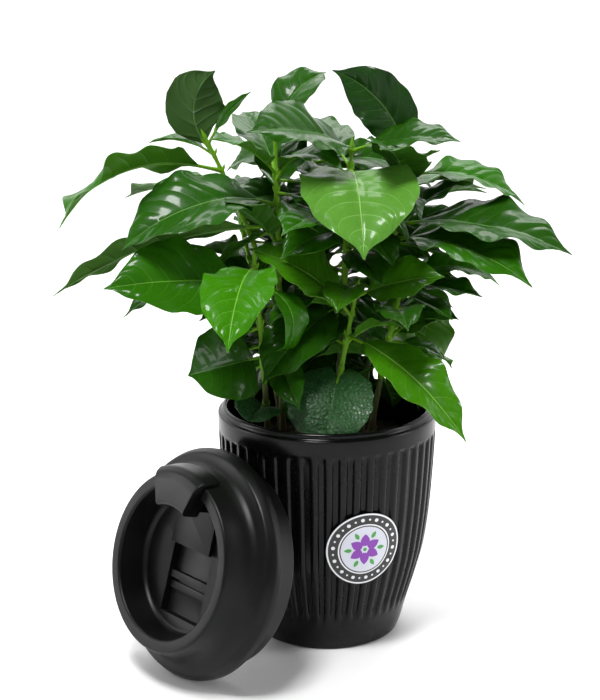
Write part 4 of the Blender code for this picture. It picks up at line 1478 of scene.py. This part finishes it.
def add_blade(heap, blade, thick, slots):
    """Leaf with its side veins: slots are upper side, underside, side vein and margin; the margin takes the
    paler vein colour as a painted highlight along the edge.
    """
    rows = vein_rows(blade)
    columns = SMALL_COLUMNS if blade.length < LARGE_LEAF * MM else LARGE_COLUMNS
    if blade.crinkled:
        columns = CRINKLED_COLUMNS
    line = np.linspace(-1.0, 1.0, columns + 1)
    line = np.sin(line * math.pi / 2) * 0.35 + line * 0.65
    along, across = np.meshgrid(np.array([row[0] for row in rows]), line, indexing="ij")
    out = np.abs(across)
    wide = (0.19 * (1.0 - 0.8 * out) + 0.02) * MM * min(1.15, blade.length / (80.0 * MM) + 0.3)
    along = along + np.array([row[1] for row in rows])[:, None] * wide / blade.length
    middle = blade.at(along, across)
    normal = blade.normal(along, across)
    thin = (thick * 0.5 * (1.0 - 0.6 * out ** 6))[..., None]
    crest = np.array([row[1] == 0 and row[2] for row in rows])[:, None] * (1.0 - out) * 0.2 * MM
    verts = np.concatenate([(middle + normal * thin).reshape(-1, 3),
                            (middle - normal * (thin + crest[..., None])).reshape(-1, 3)])
    faces, edge = slab_faces(len(rows) - 1, columns)
    upper = []
    lower = []
    for row in rows[:-1]:
        for low, high in zip(line[:-1], line[1:]):
            inside = row[2] and not blade.crinkled and 0.02 < abs(low + high) * 0.5 < 0.93
            upper.append(slots[2] if inside else slots[0])
            lower.append(slots[2] if inside else slots[1])
    # The edge faces take the margin slot: a painted highlight along the leaf's edge.
    heap.add(verts, faces, upper + lower + [slots[3]] * edge)


def add_midrib(heap, blade, thick, slot):
    """Slim ridge along the middle that stands out of both faces of the leaf."""
    size = min(1.2, blade.length / (90.0 * MM) + 0.2)
    along = np.linspace(0.0, MIDRIB_END, MIDRIB_RINGS)
    fade = 1.0 - along
    middle = blade.at(along, np.zeros_like(along))
    normal = blade.normal(along, np.zeros_like(along))
    ahead = np.gradient(middle, axis=0)
    ahead /= np.maximum(1e-12, np.linalg.norm(ahead, axis=1, keepdims=True))
    side = np.cross(ahead, normal)
    wide = ((0.2 + 0.55 * fade) * MM * size)[:, None]
    high = (thick * 0.5 + (0.1 + 0.5 * fade) * MM * size)[:, None]
    rings = np.stack([
        middle + side * wide,
        middle + (normal + side * 0.9) * high * 0.72,
        middle + normal * high,
        middle + (normal - side * 0.9) * high * 0.72,
        middle - side * wide,
        middle - normal * high * 1.25,
    ], 1)
    verts, faces = loft([list(ring) for ring in rings])
    heap.add(verts, faces, slot)


def add_petiole(heap, key, height, leaf, slot):
    """Leaf stalk: swollen at the stem, slimmer towards the blade, running on under the midrib."""
    root, ahead, reach = petiole_line(key, height, leaf)
    shares = (0.0, 0.12, 0.3, 0.6, 0.85, 1.0)
    girth = (1.5, 1.35, 1.12, 1.0, 1.0, 0.7)
    points = [root + ahead * (reach + 4.0 * MM) * t for t in shares]
    size = min(1.15, 0.65 + leaf[2] / 180.0)
    verts, faces = tube(points, [PETIOLE_RADIUS * MM * g * size for g in girth], 10)
    heap.add(verts, faces, slot)


def add_shoot(heap, key, leaves, rng):
    """Upper stem with a swelling and two small pointed scales at every leaf pair, and a tip bud."""
    low = SEEDLINGS[key][6] + 0.3
    top = SEEDLINGS[key][4]
    nodes = sorted({round(height) for height, _, _, _ in leaves})
    count = max(24, int((top - low) / 1.6))
    heights = [low + (top - low) * k / count for k in range(count + 1)]
    radii = []
    for z in heights:
        swell = sum(0.3 * math.exp(-((z - node) / 1.8) ** 2) for node in nodes)
        radii.append(stem_radius(key, z) * (1.0 + min(0.45, swell)))
    points = [stem_point(key, z) for z in heights]
    heap.add(*tube(points, radii, SHOOT_SIDES, True), 0)
    for node in nodes:
        turn = rng.uniform(0.0, TAU)
        for half_turn in (0.0, math.pi):
            out = Vector((math.cos(turn + half_turn), math.sin(turn + half_turn), 0.0))
            base = stem_point(key, node + 0.6) + out * stem_radius(key, node) * 0.75
            tip = base + out * 1.1 * MM + Vector((0.0, 0.0, 3.2 * MM))
            heap.add(*tube((base, base.lerp(tip, 0.45) + out * 0.2 * MM, tip),
                           (0.95 * MM, 0.75 * MM, 0.08 * MM), 7), 0)
    tip = stem_point(key, top)
    rise = (tip - stem_point(key, top - 6.0)).normalized()
    bud = [tip + rise * s * MM for s in (-1.0, 0.4, 2.0, 4.0, 6.2)]
    heap.add(*tube(bud, [g * MM for g in (0.9, 1.35, 1.2, 0.65, 0.08)], 10), 0)


def build_plant(looks):
    chosen = place_leaves()
    tone_names = list(TONES)
    tops = [paint("leaf " + t, crinkled_paint if t == "seed" else leaf_paint, TONES[t][0], looks.gloss,
                  LEAF_COAT) for t in tone_names]
    unders = [paint("underside " + t, under_paint, TONES[t][1]) for t in tone_names]
    veins = [paint("vein " + t, vein_paint, TONES[t][2]) for t in tone_names]
    # The "pale" tone's lighter colours, side veins included, are painted sheen.
    fine = [paint("side vein " + t, vein_paint, between_colours(
        TONES[t][0], TONES[t][2], PALE_VEIN_SHARE if t == "pale" else VEIN_SHARE)) for t in tone_names]
    green = paint("green shoot", shoot_paint, looks.shoot)
    many = len(tone_names)
    rng = random.Random(SEED + 2)
    for key, leaves in chosen.items():
        blades = Heap()
        ribs = Heap()
        twigs = Heap()
        node = "leaves_" + key
        add_shoot(twigs, key, leaves, rng)
        for height, leaf, outline, tone in leaves:
            root, ahead, reach = petiole_line(key, height, leaf)
            blade = Blade(root + ahead * reach, leaf, outline, looks)
            kind = tone_names.index(tone)
            # The fourth slot paints each leaf's margin in the vein colour, a painted highlight along the
            # edge.
            add_blade(blades, blade, looks.leaf_thick, [kind + many * row for row in range(4)])
            add_midrib(ribs, blade, looks.leaf_thick, kind)
            add_petiole(twigs, key, height, leaf, 0)
        place_piece(blades.piece("blades_" + key, tops + unders + fine + veins, 60.0), "leaf", node)
        place_piece(ribs.piece("veins_" + key, veins), "leaf", node)
        place_piece(twigs.piece("shoots_" + key, [green], 50.0), "leaf", node)


def build_stems(looks):
    """Woody feet of the seedlings with fine cracked bark."""
    bark = paint("stem bark", bark_paint, looks.bark, looks.shoot)
    for number, key in enumerate(SEEDLINGS):
        low = SOIL_TOP + 0.3
        bare = SEEDLINGS[key][6]
        count = int((bare - low) / 0.7)
        rings = []
        for k in range(count + 1):
            z = low + (bare - low) * k / count
            middle = stem_point(key, z)
            ring = []
            for angle in angles(BARK_SIDES):
                crack = math.sin(angle * 5.0 + math.sin(z * 0.35 + number) * 2.0)
                crack *= math.sin(z * 0.9 + angle * 2.0)
                ridge = math.sin(angle * 9.0 + z * 0.12 + number)
                woody = 1.0 - smooth_step(z, WOOD_FULL, WOOD_END) * 0.7
                scar = 0.08 * math.exp(-((z - 128.0 - 3.0 * math.sin(number)) / 1.4) ** 2)
                radius = stem_radius(key, z) * (1.0 + woody * (0.045 * crack + 0.03 * ridge) + scar)
                ring.append(middle + Vector((math.cos(angle), math.sin(angle), 0.0)) * radius)
            rings.append(ring)
        verts, faces = loft(rings)
        stem = make_piece("bark_" + key, verts, faces, [bark], None, True, 60.0)
        place_piece(stem, "stem", "stem_" + key)


# ================================================================ studio

CAMERA_SPOT = (-0.0154, -0.95, 0.418)
CAMERA_PITCH = 14.95
SENSOR_HEIGHT = 36.0
FOCAL_PIXELS = 1742.0
PICTURE_HEIGHT = 700.0
CAMERA_LENS = FOCAL_PIXELS / PICTURE_HEIGHT * SENSOR_HEIGHT

FLOOR_STEPS = 96
PLANT_MIDDLE = (0.0, 0.0, 0.18)

# Each soft light: name, place, size, share of the key light's power, and what it is aimed at.
LIGHTS = (
    ("key", (-0.25, -0.55, 1.4), (0.36, 0.36), 1.45, PLANT_MIDDLE),
    ("left side", (-1.3, 0.1, 0.6), (0.5, 1.2), 0.6, PLANT_MIDDLE),
    ("right side", (1.3, -0.1, 0.6), (0.4, 1.2), 0.6, PLANT_MIDDLE),
    ("top back", (0.1, 0.8, 1.3), (0.9, 0.5), 0.6, PLANT_MIDDLE),
    ("backdrop", (0.0, 1.2, 2.6), (3.0, 0.8), 5.0, (0.0, 2.8, 0.6)),
)


def soft_light(name, spot, size, power, target):
    light = bpy.data.lights.new(name, "AREA")
    light.shape = "RECTANGLE"
    light.size, light.size_y = size
    light.energy = power
    item = bpy.data.objects.new(name, light)
    item.location = spot
    bpy.context.scene.collection.objects.link(item)
    item.rotation_euler = (Vector(target) - item.location).to_track_quat("-Z", "Y").to_euler()


def studio_paint(name, colour):
    look = Paint(name, 0.75)
    cloud = look.noise(3.0, 2.0)
    return look.set(Base_Color=look.blend(cloud, scaled(colour, 0.985), colour))


def build_studio(looks):
    """Round pale floor that curves up on every side, higher at the back, with soft lights round it."""
    around = FLOOR_STEPS
    bend = [(1.6 + 1.2 * math.sin(a), 1.2 - 1.2 * math.cos(a)) for a in np.linspace(0.0, math.pi / 2, 14)]
    rings = [(0.3 * k, 0.0) for k in range(1, 6)] + bend
    verts = [(0.0, 0.0, 0.0)]
    for radius, z in rings + [(2.8, 5.0)]:
        verts += [(radius * math.cos(angle), radius * math.sin(angle), z) for angle in angles(around)]
    faces = [(0, 1 + i, 1 + (i + 1) % around) for i in range(around)]
    for k in range(len(rings)):
        for i in range(around):
            if k == len(rings) - 1 and abs((i + 0.5) / around - 0.25) > 0.2:
                continue
            j = (i + 1) % around
            low = 1 + k * around
            faces.append((low + i, low + around + i, low + around + j, low + j))
    floor = make_piece("studio_floor", verts, faces, [paint("studio paper", studio_paint, looks.floor)])
    for name, spot, size, share, target in LIGHTS:
        soft_light(name, spot, size, looks.key * share, target)
    world = bpy.data.worlds.new("studio air")
    bpy.context.scene.world = world
    world.use_nodes = True
    air = world.node_tree.nodes["Background"]
    air.inputs["Color"].default_value = (1.0, 1.0, 1.0, 1.0)
    air.inputs["Strength"].default_value = looks.fill
    camera = bpy.data.cameras.new("camera")
    camera.sensor_fit = "VERTICAL"
    camera.sensor_height = SENSOR_HEIGHT
    camera.lens = CAMERA_LENS
    item = bpy.data.objects.new("camera", camera)
    item.location = CAMERA_SPOT
    item.rotation_euler = (math.radians(90.0 - CAMERA_PITCH), 0.0, 0.0)
    bpy.context.scene.collection.objects.link(item)
    bpy.context.scene.camera = item
    bpy.context.scene.view_settings.view_transform = "Standard"


# ================================================================ operators and panel

class COFFEE_OT_pot(bpy.types.Operator):
    """Build the ribbed pot"""
    bl_idname = "coffee.pot"
    bl_label = "Ribbed pot"

    def execute(self, context):
        build_pot(context.scene.coffee_pot)
        return {"FINISHED"}


class COFFEE_OT_soil(bpy.types.Operator):
    """Fill the pot with crumbly soil"""
    bl_idname = "coffee.soil"
    bl_label = "Soil"

    def execute(self, context):
        build_soil(context.scene.coffee_pot)
        return {"FINISHED"}


class COFFEE_OT_badge(bpy.types.Operator):
    """Put the round printed badge on the pot's front"""
    bl_idname = "coffee.badge"
    bl_label = "Badge"

    def execute(self, context):
        build_badge(context.scene.coffee_badge)
        return {"FINISHED"}


class COFFEE_OT_lid(bpy.types.Operator):
    """Lean the cup's lid with its sipping flap on the pot"""
    bl_idname = "coffee.lid"
    bl_label = "Lid and flap"

    def execute(self, context):
        build_lid(context.scene.coffee_lid)
        build_flap(context.scene.coffee_lid)
        return {"FINISHED"}


class COFFEE_OT_stems(bpy.types.Operator):
    """Grow the woody feet of the seedlings"""
    bl_idname = "coffee.stems"
    bl_label = "Stems"

    def execute(self, context):
        build_stems(context.scene.coffee_plant)
        return {"FINISHED"}


class COFFEE_OT_leaves(bpy.types.Operator):
    """Grow the green shoots with their leaves and veins"""
    bl_idname = "coffee.leaves"
    bl_label = "Shoots and leaves"

    def execute(self, context):
        build_plant(context.scene.coffee_plant)
        return {"FINISHED"}


class COFFEE_OT_studio(bpy.types.Operator):
    """Set up the pale floor, the soft lights and the camera"""
    bl_idname = "coffee.studio"
    bl_label = "Studio"

    def execute(self, context):
        build_studio(context.scene.coffee_studio)
        return {"FINISHED"}


OPERATORS = (COFFEE_OT_pot, COFFEE_OT_soil, COFFEE_OT_badge, COFFEE_OT_lid, COFFEE_OT_stems,
             COFFEE_OT_leaves, COFFEE_OT_studio)
LOOKS = {
    "coffee_pot": PotLooks,
    "coffee_lid": LidLooks,
    "coffee_badge": BadgeLooks,
    "coffee_plant": PlantLooks,
    "coffee_studio": StudioLooks,
}


class COFFEE_PT_panel(bpy.types.Panel):
    """Sizes and colours of the potted coffee plant"""
    bl_idname = "COFFEE_PT_panel"
    bl_label = "Potted coffee plant"
    bl_space_type = "VIEW_3D"
    bl_region_type = "UI"
    bl_category = "Coffee plant"

    def draw(self, context):
        for name, group in LOOKS.items():
            box = self.layout.box()
            looks = getattr(context.scene, name)
            for key in group.__annotations__:
                box.prop(looks, key)
        for operator in OPERATORS:
            self.layout.operator(operator.bl_idname)


def register():
    for kind in (*LOOKS.values(), *OPERATORS, COFFEE_PT_panel):
        bpy.utils.register_class(kind)
    for name, group in LOOKS.items():
        setattr(bpy.types.Scene, name, PointerProperty(type=group))


def unregister():
    for name in LOOKS:
        delattr(bpy.types.Scene, name)
    for kind in reversed((*LOOKS.values(), *OPERATORS, COFFEE_PT_panel)):
        bpy.utils.unregister_class(kind)


def main():
    register()
    bpy.ops.coffee.pot()
    bpy.ops.coffee.soil()
    bpy.ops.coffee.badge()
    bpy.ops.coffee.lid()
    bpy.ops.coffee.stems()
    bpy.ops.coffee.leaves()
    bpy.ops.coffee.studio()


if __name__ == "__main__":
    main()
